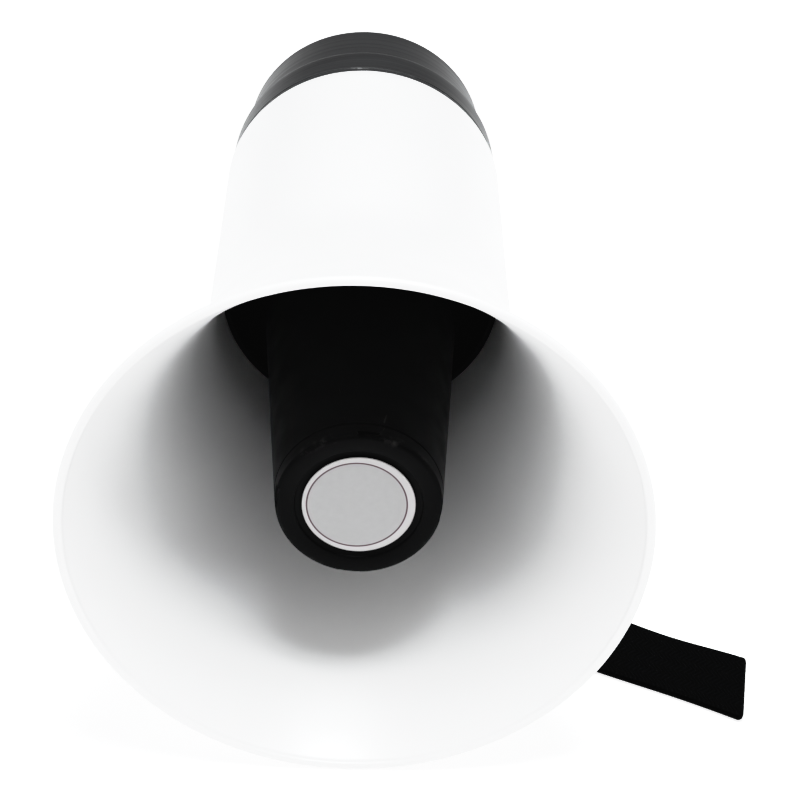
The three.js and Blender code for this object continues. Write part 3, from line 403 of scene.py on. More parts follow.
def label_print():
    """Blank printed label: pale border, thin dark ring printed a little off centre, grey field."""
    tree = Tree("label_grey", (0.6, 0.6, 0.6), 0.38, IOR=1.5)
    x, _, z = tree.parts()
    shifted = tree.math("ADD", x, 0.5 * MM)
    square = tree.math("ADD", tree.math("MULTIPLY", shifted, shifted), tree.math("MULTIPLY", z, z))
    radius = tree.math("SQRT", square)
    paper = tree.noise(500, 4)
    field = tree.mix(tree.span(paper, 0.3, 0.7), (0.29, 0.285, 0.284), (0.298, 0.293, 0.292))
    border = tree.mix(tree.span(paper, 0.3, 0.7), (0.355, 0.344, 0.345), (0.366, 0.355, 0.355))
    face = tree.mix(tree.span(radius, 13.55 * MM, 13.65 * MM), field, border)
    off_line = tree.math("ABSOLUTE", tree.math("SUBTRACT", radius, 13.6 * MM))
    tree.colour(tree.mix(tree.span(off_line, 0.14 * MM, 0.24 * MM), (0.045, 0.006, 0.018), face))
    tree.bump(paper, 0.15, 0.02)
    return tree.material


def webbing():
    """Woven polypropylene: slanting ribs that meet along the middle."""
    tree = Tree("webbing_black", (0.004, 0.004, 0.0045), 0.85, IOR=1.45, Specular_IOR_Level=0.03)
    uv = tree.nodes.new("ShaderNodeUVMap").outputs[0]
    u, v, _ = tree.parts(uv)
    slant = tree.math("ABSOLUTE", tree.math("SUBTRACT", tree.math("FRACT", tree.math("MULTIPLY", u, 4)), 0.5))
    phase = tree.math("MULTIPLY", tree.math("ADD", v, tree.math("MULTIPLY", slant, 5)), 2 * math.pi / 1.5)
    ribs = tree.math("SINE", phase)
    threads = tree.math("SINE", tree.math("MULTIPLY", u, 2 * math.pi * 32))
    height = tree.math("ADD", ribs, tree.math("MULTIPLY", threads, 0.4))
    tree.bump(height, 0.7, 0.16)
    fibre = tree.noise(2500, 2)
    tree.bump(fibre, 0.4, 0.06)
    # Painted shade: the hollows of the weave are coloured darker than the tops of its ribs and threads.
    tree.colour(tree.mix(tree.span(height, -1.2, 1.2), (0.001, 0.001, 0.0011), (0.0035, 0.0035, 0.0038)))
    tree.rough(tree.span(fibre, 0.3, 0.7, 0.78, 0.95))
    return tree.material


def metal(name, base, rough, lines=(1, 1, 1)):
    tree = Tree(name, base, rough, 1.0)
    brushed = tree.noise(900, 3, 0.5, lines)
    tree.rough(tree.span(brushed, 0.3, 0.7, rough - 0.08, rough + 0.1))
    tree.bump(brushed, 0.3, 0.02)
    darker = tuple(c * 0.8 for c in base)
    tree.colour(tree.mix(tree.span(tree.noise(80, 4), 0.35, 0.7), darker, base))
    return tree.material


MATERIALS = {
    "horn_white": white_plastic(),
    "horn_black": black_plastic(),
    "label_grey": label_print(),
    "cap_black": cap_plastic(),
    "grip_black": moulded("grip_black", (0.02, 0.0205, 0.022), 0.5, 700, 0.12, 0.2, IOR=1.5).material,
    "slider_grey": moulded("slider_grey", (0.4, 0.4, 0.41), 0.45, 1200, 0.03, 0.1).material,
    "control_red": moulded("control_red", (0.42, 0.012, 0.014), 0.32, 1200, 0.02, 0.15, IOR=1.5).material,
    "inner_plastic": moulded("inner_plastic", (0.05, 0.05, 0.055), 0.55).material,
    "diaphragm_film": moulded("diaphragm_film", (0.5, 0.3, 0.1), 0.35, 300, 0.05).material,
    "coil_copper": metal("coil_copper", (0.72, 0.33, 0.18), 0.35, (1, 40, 1)),
    "steel": metal("steel", (0.6, 0.6, 0.62), 0.3),
    "magnet_ferrite": moulded("magnet_ferrite", (0.05, 0.05, 0.055), 0.65, 500, 0.1).material,
    "heat_sink_aluminium": metal("heat_sink_aluminium", (0.75, 0.75, 0.77), 0.4, (1, 6, 1)),
    "board_green": moulded("board_green", (0.02, 0.16, 0.05), 0.35, 400, 0.05).material,
    "battery_jacket": metal("battery_jacket", (0.35, 0.26, 0.08), 0.35, (1, 0.2, 1)),
    "webbing_black": webbing(),
}
SLOT_OF = {row["node"]: row["material_slot"] for row in frame["record"]["subparts"]}
BODY_OF = {node: body for body, nodes in frame["record"]["behaviour"]["bodies"].items() for node in nodes}
for node_name, node in frame["nodes"].items():
    node.data.materials.clear()
    node.data.materials.append(MATERIALS[SLOT_OF[node_name]])


def piece(obj, *nodes, material=None):
    """Gives a piece the finish and the body of the nodes that it stands for."""
    obj.data.materials.clear()
    obj.data.materials.append(MATERIALS[material or SLOT_OF[nodes[0]]])
    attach(obj, BODY_OF[nodes[0]])
    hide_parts(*nodes)
    return obj


# ------------------------------------------------------------------------------- wrist strap
def strap_at(x):
    """Station and underside height of the strap at a distance from the grip."""
    for (x0, s0, l0), (x1, s1, l1) in zip(STRAP_ROUTE, STRAP_ROUTE[1:]):
        if x <= x1 or x1 == STRAP_ROUTE[-1][0]:
            t = (x - x0) / (x1 - x0)
            return s0 + (s1 - s0) * t, l0 + (l1 - l0) * t
    return STRAP_ROUTE[-1][1:]


def wrist_strap():
    """One length of webbing that runs out, folds over at the far end and comes back on itself."""
    layer = 1.45
    low_mid = layer / 2 + 0.1
    high_mid = STRAP_THICK - layer / 2 - 0.1
    fold = (high_mid - low_mid) / 2
    x_first, x_last = STRAP_ROUTE[0][0], STRAP_ROUTE[-1][0] - layer / 2 - fold
    count = 110
    xs = [x_first + (x_last - x_first) * i / count for i in range(count + 1)]
    path = [(x, low_mid, 0.0, 1.0) for x in xs]
    path += [(x_last + fold * math.sin(a), (low_mid + high_mid) / 2 - fold * math.cos(a), math.sin(a),
              math.cos(a)) for a in (math.pi * k / 8 for k in range(1, 8))]
    path += [(x, high_mid, 0.0, -1.0) for x in reversed(xs)]
    across = [-1, -0.97, -0.9] + [-0.8 + 0.1 * k for k in range(17)] + [0.9, 0.97, 1]
    thin = {1: 0.35, 0.97: 0.75}
    verts, faces, uvs = [], [], []
    length = 0.0
    last = None
    ring = 2 * len(across)
    for x, height, nx, nz in path:
        station, lift = strap_at(min(x, x_last))
        before, after = strap_at(max(x_first, min(x, x_last) - 3)), strap_at(min(x_last, x + 3))
        slope = (after[0] - before[0]) / max(1e-6, min(x_last, x + 3) - max(x_first, min(x, x_last) - 3))
        half = STRAP_WIDTH / 2 * math.hypot(1, slope)
        slant = STRAP_SLANT * max(0.0, x - STRAP_SLANT_FROM) / (STRAP_ROUTE[-1][0] - STRAP_SLANT_FROM)
        centre = Vector((x, station, FLOOR + lift + height))
        length += (centre - last).length if last else 0.0
        last = centre
        ripple = 0.32 * max(0.0, min(1.0, (x - 45) / 30))
        for side in (1, -1):
            for c in across if side > 0 else reversed(across):
                body = thin.get(round(abs(c), 2), 1.0) * layer / 2 * side
                wave = ripple * (1 + math.sin(x / 6.1 + 2.1 * c)) * max(0.0, c) ** 2
                y = station + c * half + 0.35 * math.sin(x / 9.0) * c
                verts.append((x + nx * body + slant * c * half, y, centre.z + wave - nz * body))
                uvs.append(((c + 1) / 2, length))
    rings = len(path)
    for i in range(rings - 1):
        for k in range(ring):
            j = (k + 1) % ring
            faces.append([i * ring + k, i * ring + j, (i + 1) * ring + j, (i + 1) * ring + k])
    faces.append(list(range(ring)))
    faces.append(list(range((rings - 1) * ring, rings * ring)))
    mesh = bpy.data.meshes.new("webbing_strap")
    mesh.from_pydata([tuple(c * MM for c in v) for v in verts], [], faces)
    layer_uv = mesh.uv_layers.new(name="along")
    for loop in mesh.loops:
        layer_uv.data[loop.index].uv = uvs[loop.vertex_index]
    work = bmesh.new()
    work.from_mesh(mesh)
    bmesh.ops.recalc_face_normals(work, faces=work.faces)
    work.to_mesh(mesh)
    work.free()
    obj = bpy.data.objects.new("webbing_strap", mesh)
    bpy.context.collection.objects.link(obj)
    obj.matrix_world = HORN
    finish_mesh(obj, 50)
    piece(obj, "wrist_strap")
    return obj


# ------------------------------------------------------------------------------- bell and barrel
def flare(station, mouth, throat):
    t = max(0.0, (FLARE_END - station) / (FLARE_END - RIM_R))
    return throat + (mouth - throat) * t ** FLARE_POWER


def bell():
    mouth_out = MOUTH_R + BELL_WALL
    stations = [3.2 + 0.6 * k for k in range(6)] + [7 + (FLARE_END - 7) * (k / 48) for k in range(49)]
    outside = [(flare(s, mouth_out, BARREL_FRONT_R), s) for s in stations]
    inside = [(flare(s, MOUTH_R, THROAT_R), s) for s in reversed(stations)]
    inside += [(flare(s, MOUTH_R, THROAT_R), s) for s in (2.6, 2.0)]
    rim = arc(AXIS_Z - RIM_R, RIM_R, RIM_R, -math.pi, math.radians(62), 20)
    profile = rim + outside + [
        (BARREL_REAR_R + 0.05, BARREL_END - 4), (BARREL_REAR_R, BARREL_END - 0.5),
        (BARREL_REAR_R - 0.15, BARREL_END - 0.12), (BARREL_REAR_R - 0.5, BARREL_END),
        (BARREL_BORE_R, BARREL_END), (BARREL_BORE_R, LEDGE_AT + GAP), (THROAT_R, LEDGE_AT + GAP),
        (THROAT_R, FLARE_END + 8),
    ] + inside
    return piece(lathe("bell_and_barrel", profile, 256, sharp=28), "horn_shell")


# ------------------------------------------------------------------------------- reflex horn
def bowl_front(radius):
    edge = THROAT_R - GAP - BOWL_WALL
    share = min(1.0, (edge - radius) / (edge - TUBE_R))
    return THROAT_AT + 1 + (BOWL_FLOOR_AT - THROAT_AT - 1) * math.sqrt(1 - (1 - share) ** 2)


def throat():
    edge = THROAT_R - GAP
    bore = TUBE_R + GAP
    radii = [edge - BOWL_WALL - (edge - BOWL_WALL - bore) * (k / 28) ** 1.6 for k in range(29)]
    back_at = BOWL_FLOOR_AT + BOWL_WALL + 2.5
    profile = [(edge, THROAT_AT + 0.5), (edge - 0.4, THROAT_AT + 0.1), (edge - 0.9, THROAT_AT),
               (edge - BOWL_WALL + 0.5, THROAT_AT + 0.1)]
    profile += [(r, bowl_front(r)) for r in radii]
    profile += [(bore, back_at), (16, back_at), (18, BOWL_FLOOR_AT + BOWL_WALL), (30, BOWL_FLOOR_AT + 1.5),
                (36, LEDGE_AT + 4.5), (BARREL_BORE_R - 1, LEDGE_AT), (edge, LEDGE_AT)]
    return piece(lathe("throat_reflector", profile, 160), "throat_bowl")


def cup_radius(station):
    return CUP_FRONT_R + (CUP_REAR_R - CUP_FRONT_R) * (station - CUP_FRONT) / (CUP_REAR - CUP_FRONT)


def cup():
    nose = CUP_FRONT + CUP_CAP_DEPTH + GAP
    steps = 24
    outside = [(cup_radius(nose) - 0.25, nose), (cup_radius(nose), nose + 0.3)]
    outside += [(cup_radius(s), s) for s in (nose + 2 + (CUP_REAR - nose - 3) * k / steps
                                             for k in range(steps + 1))]
    outside += [(cup_radius(CUP_REAR) - 0.2, CUP_REAR - 0.2), (cup_radius(CUP_REAR) - 0.8, CUP_REAR)]
    inside = [(cup_radius(s) - CUP_WALL, s) for s in (CUP_REAR, 80, 50, nose + 10)]
    inside += [(cup_radius(nose + 6) - CUP_WALL - 2, nose + 6), (14, nose + 3.5), (6, nose + 5),
               (2, nose + 9), (0, nose + 12), (0, nose)]
    return piece(lathe("sound_cup", outside + inside, 200, matrix=CORE), "reflector_cup")


def cup_nose():
    """The cup's front: rounded lip, four shallow notches, a step and the label's recess."""
    rear = CUP_FRONT + CUP_CAP_DEPTH
    r = cup_radius(CUP_FRONT)
    floor = CUP_FRONT + LABEL_RECESS

    def lip(radius, station, angle):
        if radius < r - 0.6 or station > CUP_FRONT + 2.2:
            return radius
        across = [abs((angle - NOTCH_TURN - k * math.pi / 2 + math.pi) % (2 * math.pi) - math.pi)
                  for k in range(4)]
        inside = min(across) * r < NOTCH_WIDTH / 2
        return min(radius, r - 0.6) if inside else radius

    profile = [
        (0, floor), (LABEL_RECESS_R - 0.2, floor), (LABEL_RECESS_R, floor - 0.15),
        (LABEL_RECESS_R + 0.12, CUP_FRONT + 0.3), (LABEL_RECESS_R + 0.5, CUP_FRONT + 0.05),
        (r - 1.6, CUP_FRONT),
    ]
    profile += arc(r - 1.3, CUP_FRONT + 1.3, 1.3, -math.pi / 2, 0, 8)
    profile += [(r + 0.05, CUP_FRONT + 2.1), (r + 0.06, CUP_FRONT + 2.3),
                (cup_radius(rear) - 0.02, rear - 0.3), (cup_radius(rear) - 0.3, rear), (0, rear)]
    return piece(lathe("cup_nose", profile, 300, lip, CORE, 40), "cup_front_cap")


def label():
    rear = CUP_FRONT + LABEL_RECESS - GAP
    front = rear - LABEL_THICK
    profile = [(0, front)] + [(r, front) for r in (5, 10, 13, 14.5)]
    profile += [(LABEL_R - 0.1, front), (LABEL_R, front + 0.1), (LABEL_R, rear), (0, rear)]
    return piece(lathe("blank_label", profile, 128, matrix=CORE), "label_disc")


# ------------------------------------------------------------------------------- rear cap
def rear_cap():
    start = BARREL_END + GAP
    end = LENGTH - CAP_FILLET
    spigot = BARREL_BORE_R - GAP
    neck_r, behind = CAP_NECK
    neck_at = CAP_RIDGE_AT + behind

    def cone(s):
        return neck_r + (CAP_END_R - neck_r) * (s - neck_at) / (end - neck_at)

    def band(s):
        return CAP_BAND_R + (CAP_RIDGE_R - CAP_BAND_R) * (s - start) / (CAP_RIDGE_AT - start)

    profile = [(CAP_BAND_R - 0.7, start), (CAP_BAND_R - 0.25, start + 0.1), (CAP_BAND_R - 0.03, start + 0.45),
               (band(start + 1), start + 1), (band(start + 2.3), start + 2.3),
               (band(start + 2.6) - 0.28, start + 2.5), (band(start + 3.0) - 0.28, start + 2.9),
               (band(start + 3.2), start + 3.1)]
    profile += [(band(s), s) for s in (start + 5, start + 8, start + 11, CAP_RIDGE_AT - 1.5)]
    profile += [(CAP_RIDGE_R - 0.02, CAP_RIDGE_AT - 0.8), (CAP_RIDGE_R - 0.15, CAP_RIDGE_AT - 0.35),
                (CAP_RIDGE_R - 0.5, CAP_RIDGE_AT), (neck_r + 0.45, neck_at - 0.75),
                (neck_r + 0.12, neck_at - 0.3), (neck_r, neck_at + 0.2)]
    profile += [(cone(s), s) for s in (neck_at + 2 + k * (end - neck_at - 2) / 10 for k in range(11))]
    profile += arc(CAP_END_R - CAP_FILLET, end, CAP_FILLET, 0.15, math.pi / 2, 12)
    profile += [(PANEL_R + 0.6, LENGTH), (PANEL_R + 0.2, LENGTH - 0.2), (PANEL_R, LENGTH - 0.6),
                (PANEL_R, PANEL_AT + 0.5), (PANEL_R - 0.15, PANEL_AT + 0.15), (PANEL_R - 0.5, PANEL_AT),
                (0, PANEL_AT), (0, PANEL_AT - 2), (cone(PANEL_AT - 2) - 2.2, PANEL_AT - 2),
                (neck_r - 2.2, neck_at), (spigot - 2.2, start),
                (spigot - 2.2, start - 8), (spigot - 0.6, start - 8), (spigot, start - 7), (spigot, start)]
    cap = lathe("battery_cap", profile, 256, sharp=30)
    deep = (PANEL_AT - 4, PANEL_AT + 1)
    carve(cap,
          cut_bar("y", GRILLE_R + GAP, PANEL_AT - 0.8, PANEL_AT + 1, (0, 0), 96),
          cut_bar("y", KNOB_BORE_R, *deep, (0, -CONTROL_RING)),
          cut_bar("y", RECORD_BORE_R, *deep, (-CONTROL_RING, 0), 64),
          cut_box((-5.3, 5.3), deep, (CONTROL_RING - 1.8, CONTROL_RING + 1.8)))
    ticks = []
    for k in range(11):
        angle = math.radians(-90 + (k - 5) * 27) + math.pi
        long = 1.6 if k % 5 else 2.4
        u = (math.cos(angle), math.sin(angle))
        v = (-u[1], u[0])
        corners = [(8.6, -0.22), (8.6 + long, -0.22), (8.6 + long, 0.22), (8.6, 0.22)]
        outline = [(a * u[0] + b * v[0], -CONTROL_RING + a * u[1] + b * v[1]) for a, b in corners]
        if all(math.hypot(*p) < PANEL_R - 0.6 and math.hypot(*p) > 11 for p in outline):
            ticks.append(prism("tick", outline, PANEL_AT - 0.1, PANEL_AT + 0.25, "y", bevel=0.08))
    join(cap, ticks)
    return piece(cap, "rear_cap")


def join(obj, others):
    work = bmesh.new()
    work.from_mesh(obj.data)
    for other in others:
        work.from_mesh(other.data)
        bpy.data.objects.remove(other)
    work.to_mesh(obj.data)
    work.free()
    finish_mesh(obj)
    return obj


def grille():
    front = PANEL_AT - 0.5
    profile = [(0, front), (GRILLE_R, front), (GRILLE_R, front + 0.9), (9.85, front + 1.2),
               (9.5, front + 1.4), (8.7, front + 1.4), (8.5, front + 1.25), (0, front + 1.25)]
    disc = lathe("mic_grille_disc", profile, 128)
    spots = [(0, 0)]
    for count, ring in ((6, 2.1), (12, 4.2), (18, 6.4)):
        spots += circle(ring, count=count)
    verts, faces = [], []
    for spot in spots:
        loop = circle(0.6, spot, 16)
        first = len(verts)
        verts += [(a, front - 1, b) for a, b in loop] + [(a, front + 3, b) for a, b in loop]
        faces += [list(range(first, first + 16)), list(range(first + 16, first + 32))]
        faces += [[first + i, first + (i + 1) % 16, first + 16 + (i + 1) % 16, first + 16 + i]
                  for i in range(16)]
    carve(disc, mesh_object("cutter", verts, faces))
    return piece(disc, "mic_grille")


def knob():
    """Fluted knob with a raised pointer, on its stem."""
    front = PANEL_AT + GAP
    rear = front + 5

    def flute(radius, _station, angle):
        if radius < 6.1:
            return radius
        return radius - 0.55 * (0.5 + 0.5 * math.cos(angle * 20)) ** 2

    profile = [(0, front - 3.9), (2.5, front - 3.9), (2.5, front), (6.4, front), (6.6, front + 0.3),
               (6.5, front + 2.5), (6.35, rear - 0.7), (6.15, rear - 0.3), (5.6, rear), (5.0, rear),
               (4.7, rear - 0.25), (0, rear - 0.3)]
    body = lathe("volume_knob_fluted", profile, 240, flute,
                 HORN @ Matrix.Translation((0, 0, -CONTROL_RING * MM)), 30)
    pointer = prism("pointer", box_outline((-0.45, 0.45), (1.6, 6.0)), rear - 0.6, rear + 0.25, "y",
                    bevel=0.2)
    join(body, [pointer])
    return piece(body, "volume_knob")


def small_controls():
    front = PANEL_AT + GAP
    x = -3.0
    z = CONTROL_RING
    slider = prism("slider_thumb", box_outline((x - 3.4, x + 3.4), (z - 2.6, z + 2.6)), front, front + 1.6,
                   "y", bevel=0.35)
    ribs = [prism("rib", box_outline((x + u - 0.35, x + u + 0.35), (z - 2.3, z + 2.3)), front + 1.4,
                  front + 2.4, "y", bevel=0.25) for u in (-2.4, -1.2, 0, 1.2, 2.4)]
    stem = prism("stem", box_outline((x - 2, x + 2), (z - 1.4, z + 1.4)), PANEL_AT - 2.4, front + 0.5, "y")
    piece(join(slider, ribs + [stem]), "mode_slider")
    low = PANEL_AT - 2.4
    top = PANEL_AT + 2.8
    profile = [(0, low), (4.2, low), (4.2, top - 0.9), (4.0, top - 0.35), (3.5, top - 0.05),
               (2.8, top - 0.02), (2.0, top - 0.2), (1.0, top - 0.3), (0, top - 0.32)]
    piece(lathe("record_push_button", profile, 64,
                matrix=HORN @ Matrix.Translation((-CONTROL_RING * MM, 0, 0))), "record_button")


# ------------------------------------------------------------------------------- folding grip
def rounded(half, low, high, corner, steps=8):
    corner = max(0.05, min(corner, half - 0.05, (high - low) / 2 - 0.05))
    points = []
    for cx, cz, quarter in ((half - corner, high - corner, 0), (corner - half, high - corner, 1),
                            (corner - half, low + corner, 2), (half - corner, low + corner, 3)):
        points += arc(cx, cz, corner, quarter * math.pi / 2, (quarter + 1) * math.pi / 2, steps)
    return points


def ease(t):
    t = max(0.0, min(1.0, t))
    return t * t * (3 - 2 * t)


def grip_form(s):
    """Half width, low side, high side and corner radius of the grip at a station."""
    swell = 0.0
    if 80 <= s <= 124:
        swell = 0.9 - 0.9 * math.cos((124 - s) / 44 * 4 * math.pi)
    half, low, high, corner = GRIP_HALF, FLOOR, GRIP_TOP - swell, 8.0
    if s < GRIP_END + 9:
        shrink = 9 * (1 - math.sqrt(max(0.0, 1 - ((GRIP_END + 9 - s) / 9) ** 2)))
        half -= 0.85 * shrink
        low += shrink
        high -= shrink
    low += 4 * ease((s - NECK_AT + 8) / 8)
    neck = ease((s - NECK_AT + 0.9) / 1.8)
    half += (KNUCKLE_HALF - half) * neck
    corner += (1.4 - corner) * neck
    low += neck * 2.2 * ease((s - NECK_AT) / (HINGE_AT - NECK_AT))
    if s > HINGE_AT:
        reach = math.sqrt(max(0.0, (KNUCKLE_R - 0.3) ** 2 - (s - HINGE_AT) ** 2))
        low, high = -HINGE_DROP - reach, -HINGE_DROP + reach
    return half, low, high, corner


def grip_solid(inset=0.0, first=GRIP_END, last=HINGE_AT + KNUCKLE_R - 0.35):
    stations = [first + 9 * (1 - math.cos(math.pi / 2 * k / 10)) for k in range(10)]
    stations += [71 + k * 1.6 for k in range(55) if 71 + k * 1.6 < NECK_AT - 1.2]
    stations += [NECK_AT - 1.2 + 0.3 * k for k in range(9)] + [162, 165, 168, 171, 173]
    stations += [HINGE_AT + (KNUCKLE_R - 0.3) * math.sin(math.pi / 2 * k / 10) for k in range(1, 10)]
    stations = sorted(s for s in stations if s <= last - 0.1)
    stations = [s for s, after in zip(stations, stations[1:] + [last]) if after - s > 0.1] + [last]
    verts, faces = [], []
    ring = 36
    for s in stations:
        half, low, high, corner = grip_form(s + (0.4 if s < 62.3 else 0))
        outline = rounded(half - inset, low + inset, high - inset, corner - inset * 0.6)
        verts += [(x, s, z) for x, z in outline]
    for i in range(len(stations) - 1):
        faces += [[i * ring + k, i * ring + (k + 1) % ring, (i + 1) * ring + (k + 1) % ring,
                   (i + 1) * ring + k] for k in range(ring)]
    faces.append(list(range(ring)))
    faces.append(list(range((len(stations) - 1) * ring, len(stations) * ring)))
    return mesh_object("grip", verts, faces)


def screw_spot(station):
    return station, (GRIP_TOP + FLOOR) / 2 - GRIP_SCREW_DROP


def grip_half(name, side, node):
    half = grip_solid()
    far = GRIP_HALF + 5
    keep = (GAP / 2, far) if side > 0 else (-far, -GAP / 2)
    carve(half, cut_box(keep, (50, 190), (FLOOR - 5, -40)), how="INTERSECT")
    carve(half, grip_solid(GRIP_WALL, GRIP_END + GRIP_WALL, NECK_AT - GRIP_WALL))
    cuts = [cut_box((-7.5, 7.5), (TRIGGER_FRONT - 2, NECK_AT - 1.5), (-58.6, -50)),
            cut_bar("x", HINGE_PIN_BORE_R, -20, 20, (HINGE_AT, -HINGE_DROP)),
            cut_bar("x", TRIGGER_PIN_BORE_R, -20, 20, TRIGGER_PIVOT)]
    slot_half = STRAP_WIDTH / 2 + STRAP_SIDE_CLEAR
    if side > 0:
        cuts.append(cut_box((2, 17), (STRAP_SLOT_AT - slot_half, STRAP_SLOT_AT + slot_half),
                            (FLOOR + 2.2, FLOOR + 6.5)))
    else:
        cuts += [cut_bar("x", 3.0, -20, -11, screw_spot(s)) for s in GRIP_SCREWS]
    carve(half, *cuts)
    round_edges(half, 0.25, 2, 50)
    half.name = name
    return piece(half, node, material="grip_black")


def hinge_block():
    top = -(BARREL_REAR_R - 4)
    under = -(HINGE_DROP - KNUCKLE_R - GAP - 0.6)
    inner, outer = KNUCKLE_HALF + GAP, KNUCKLE_HALF + GAP + EAR_THICK
    base = prism("hinge_saddle", box_outline((BLOCK_FRONT, BLOCK_REAR), (under, top)), -outer, outer,
                 bevel=0.9)
    radius = [(0, 150), (BARREL_REAR_R + 0.7, 150), (BARREL_REAR_R + 0.4, 192), (0, 192)]
    carve(base, lathe("cutter", radius, 128))
    ear = arc(HINGE_AT, -HINGE_DROP, KNUCKLE_R, -math.pi, 0, 32)
    ear += [(HINGE_AT + KNUCKLE_R, under + 1), (HINGE_AT - KNUCKLE_R, under + 1)]
    ears = [prism("ear", ear, a, b, bevel=0.7) for a, b in ((-outer, -inner), (inner, outer))]
    for one in ears:
        carve(one, cut_bar("x", HINGE_PIN_BORE_R, -20, 20, (HINGE_AT, -HINGE_DROP)))
    return piece(join(base, ears), "hinge_block", material="grip_black")


def trigger():
    top = GRIP_TOP + TRIGGER_PROUD
    low = GRIP_TOP - GRIP_WALL - TRIGGER_DEPTH
    at, _ = TRIGGER_PIVOT
    outline = [(at + 4.5, low), (at + 4.5, GRIP_TOP + 0.2), (at - 1, GRIP_TOP + 1.2),
               (at - 7, GRIP_TOP + 2.5), (at - 11, GRIP_TOP + 3.0), (at - 15, GRIP_TOP + 3.3),
               (at - 18, top - 0.55), (at - 20, top), (at - 21.5, top), (at - 22.6, top - 0.3),
               (at - 23.5, top - 1.1), (at - 24, top - 2.4), (at - 24, low)]
    body = prism("trigger_lever_body", outline, -TRIGGER_HALF, TRIGGER_HALF, bevel=1.1, steps=4)
    carve(body, cut_box((-SPRING_SEAT_HALF, SPRING_SEAT_HALF),
                        (SPRING_AT - SPRING_SEAT_HALF, SPRING_AT + SPRING_SEAT_HALF), (low - 1, low + 0.9)))
    ribs = [prism("rib", [(s - 0.5, GRIP_TOP + 1.5), (s + 0.5, GRIP_TOP + 1.5), (s + 0.35, GRIP_TOP + lift),
                          (s - 0.35, GRIP_TOP + lift)], -4.6, 4.6, bevel=0.25)
            for s, lift in ((134.5, 4.35), (137.2, 3.75), (139.9, 3.5), (142.6, 3.3))]
    knuckle = prism("knuckle", arc(*TRIGGER_PIVOT, 3.6, -math.pi, 0, 20) + [
        (at + 3.6, low + 1), (at - 3.6, low + 1)], -5, 5)
    return piece(join(body, ribs + [knuckle]), "trigger")


def screw_head(index, station):
    """Pan head with a cross recess, and its shank."""
    seat = -GRIP_HALF + 4 - GAP
    y, z = screw_spot(station)
    turn = HORN @ Matrix.Translation((0, y * MM, z * MM)) @ Matrix.Rotation(math.pi / 2, 4, "Z")
    profile = [(0, -seat + 2), (1.2, -seat + 1.95), (2.1, -seat + 1.7), (2.6, -seat + 1.1),
               (2.7, -seat + 0.5), (2.7, -seat), (1.3, -seat), (1.3, -10), (0, -10)]
    head = lathe("head", profile, 48, matrix=turn)
    for a, b in ((1.5, 0.35), (0.35, 1.5)):
        slot = prism("cutter", box_outline((-a, a), (-b, b)), -seat + 1.0, -seat + 3, "y", turn)
        carve(head, slot)
    head.name = f"cross_screw_{index}"
    return piece(head, f"grip_screw_{index}")


wrist_strap()
bell()
throat()
cup()
cup_nose()
label()
rear_cap()
grille()
knob()
small_controls()
grip_half("grip_shell_left", -1, "grip_left")
grip_half("grip_shell_right", 1, "grip_right")
hinge_block()
trigger()
for number, grip_station in enumerate(GRIP_SCREWS, 1):
    screw_head(number, grip_station)


# ------------------------------------------------------------------------------- stage and light
FLOOR_HALF = 15000.0
FLOOR_GLOW = 0.72
SKY_FROM = 0.05            # height on the sky, 0 at the horizon and 1 overhead, where it starts to brighten
SKY_TO = 0.85
SKY_LOW = 0.1
SKY_HIGH = 0.85
BACKDROP = 1.05
LIGHTS = (                 # name, place, aim, size, watts and colour
    ("key_above", (0.1, -0.285, 1.05), (0, -0.04, 0.08), (0.42, 0.34), 11.0, (0.95, 0.985, 1)),
    ("front_left", (-0.9, -0.8, 0.6), (0, -0.1, 0.08), (0.8, 0.8), 1.7, (1, 1, 1)),
    ("side_left", (-1.1, 0.15, 0.5), (0, 0, 0.08), (0.7, 0.9), 3.2, (0.88, 0.95, 1)),
    ("side_right", (1.1, 0.15, 0.5), (0, 0, 0.08), (0.7, 0.9), 3.2, (0.88, 0.95, 1)),
)
WHITE_LIGHT = 1.6          # the light that prints as pure white
BLACK_PRINT = 0.0018
PRINT_CURVE = ((0.012, 0.0055), (0.03, 0.016), (0.08, 0.062), (0.2, 0.165), (0.4, 0.4), (0.6, 0.7),
               (0.8, 0.845), (1.0, 0.9), (1.2, 0.94))


def stage():
    corners = [(-FLOOR_HALF, -FLOOR_HALF, 0), (FLOOR_HALF, -FLOOR_HALF, 0), (FLOOR_HALF, FLOOR_HALF, 0),
               (-FLOOR_HALF, FLOOR_HALF, 0)]
    floor = mesh_object("studio_floor", corners, [[0, 1, 2, 3]], Matrix.Identity(4))
    tree = Tree("studio_paper", (0.8, 0.8, 0.8), 0.9, Emission_Strength=FLOOR_GLOW)
    tree.shader.inputs["Emission Color"].default_value = (1, 1, 1, 1)
    tree.rough(tree.span(tree.noise(3, 2), 0.3, 0.7, 0.85, 0.95))
    floor.data.materials.append(tree.material)


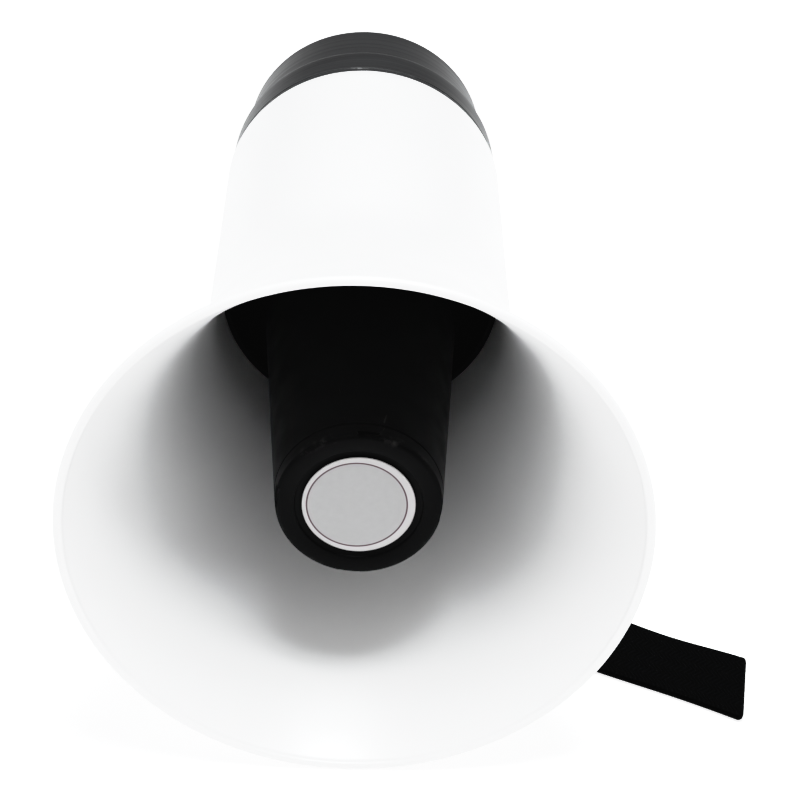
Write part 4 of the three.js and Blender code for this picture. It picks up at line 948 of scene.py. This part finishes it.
def softbox(name, at, aim, size, power, colour):
    data = bpy.data.lights.new(name, "AREA")
    data.shape = "RECTANGLE"
    data.size, data.size_y = size
    data.energy = power
    data.color = colour
    light = bpy.data.objects.new(name, data)
    bpy.context.collection.objects.link(light)
    light.location = at
    light.rotation_euler = (Vector(aim) - Vector(at)).to_track_quat("-Z", "Y").to_euler()


def sky():
    """White from above, dimmer towards the horizon; the camera itself sees plain white."""
    world = bpy.data.worlds.new("studio")
    bpy.context.scene.world = world
    world.use_nodes = True
    nodes, links = world.node_tree.nodes, world.node_tree.links
    background = nodes["Background"]
    coordinates = nodes.new("ShaderNodeTexCoord")
    split = nodes.new("ShaderNodeSeparateXYZ")
    links.new(coordinates.outputs["Generated"], split.inputs[0])
    ramp = nodes.new("ShaderNodeMapRange")
    for key, number in zip((1, 2, 3, 4), (SKY_FROM, SKY_TO, SKY_LOW, SKY_HIGH)):
        ramp.inputs[key].default_value = number
    links.new(split.outputs[2], ramp.inputs[0])
    seen = nodes.new("ShaderNodeBackground")
    seen.inputs["Strength"].default_value = BACKDROP
    seen.inputs["Color"].default_value = (1, 1, 1, 1)
    background.inputs["Color"].default_value = (0.995, 0.997, 1, 1)
    links.new(ramp.outputs[0], background.inputs["Strength"])
    path = nodes.new("ShaderNodeLightPath")
    mix = nodes.new("ShaderNodeMixShader")
    links.new(path.outputs["Is Camera Ray"], mix.inputs[0])
    links.new(background.outputs[0], mix.inputs[1])
    links.new(seen.outputs[0], mix.inputs[2])
    links.new(mix.outputs[0], nodes["World Output"].inputs["Surface"])


def develop():
    """Photographic print curve: steep middle, soft shoulder for the whites, black that isn't quite zero."""
    settings = bpy.context.scene.view_settings
    settings.view_transform = "Standard"
    settings.use_curve_mapping = True
    mapping = settings.curve_mapping
    mapping.white_level = (WHITE_LIGHT,) * 3
    curve = mapping.curves[3]
    curve.points[0].location = (0, BLACK_PRINT)
    for light, shown in PRINT_CURVE:
        curve.points.new(light / WHITE_LIGHT, shown)
    mapping.update()


stage()
sky()
for light_row in LIGHTS:
    softbox(*light_row)
develop()
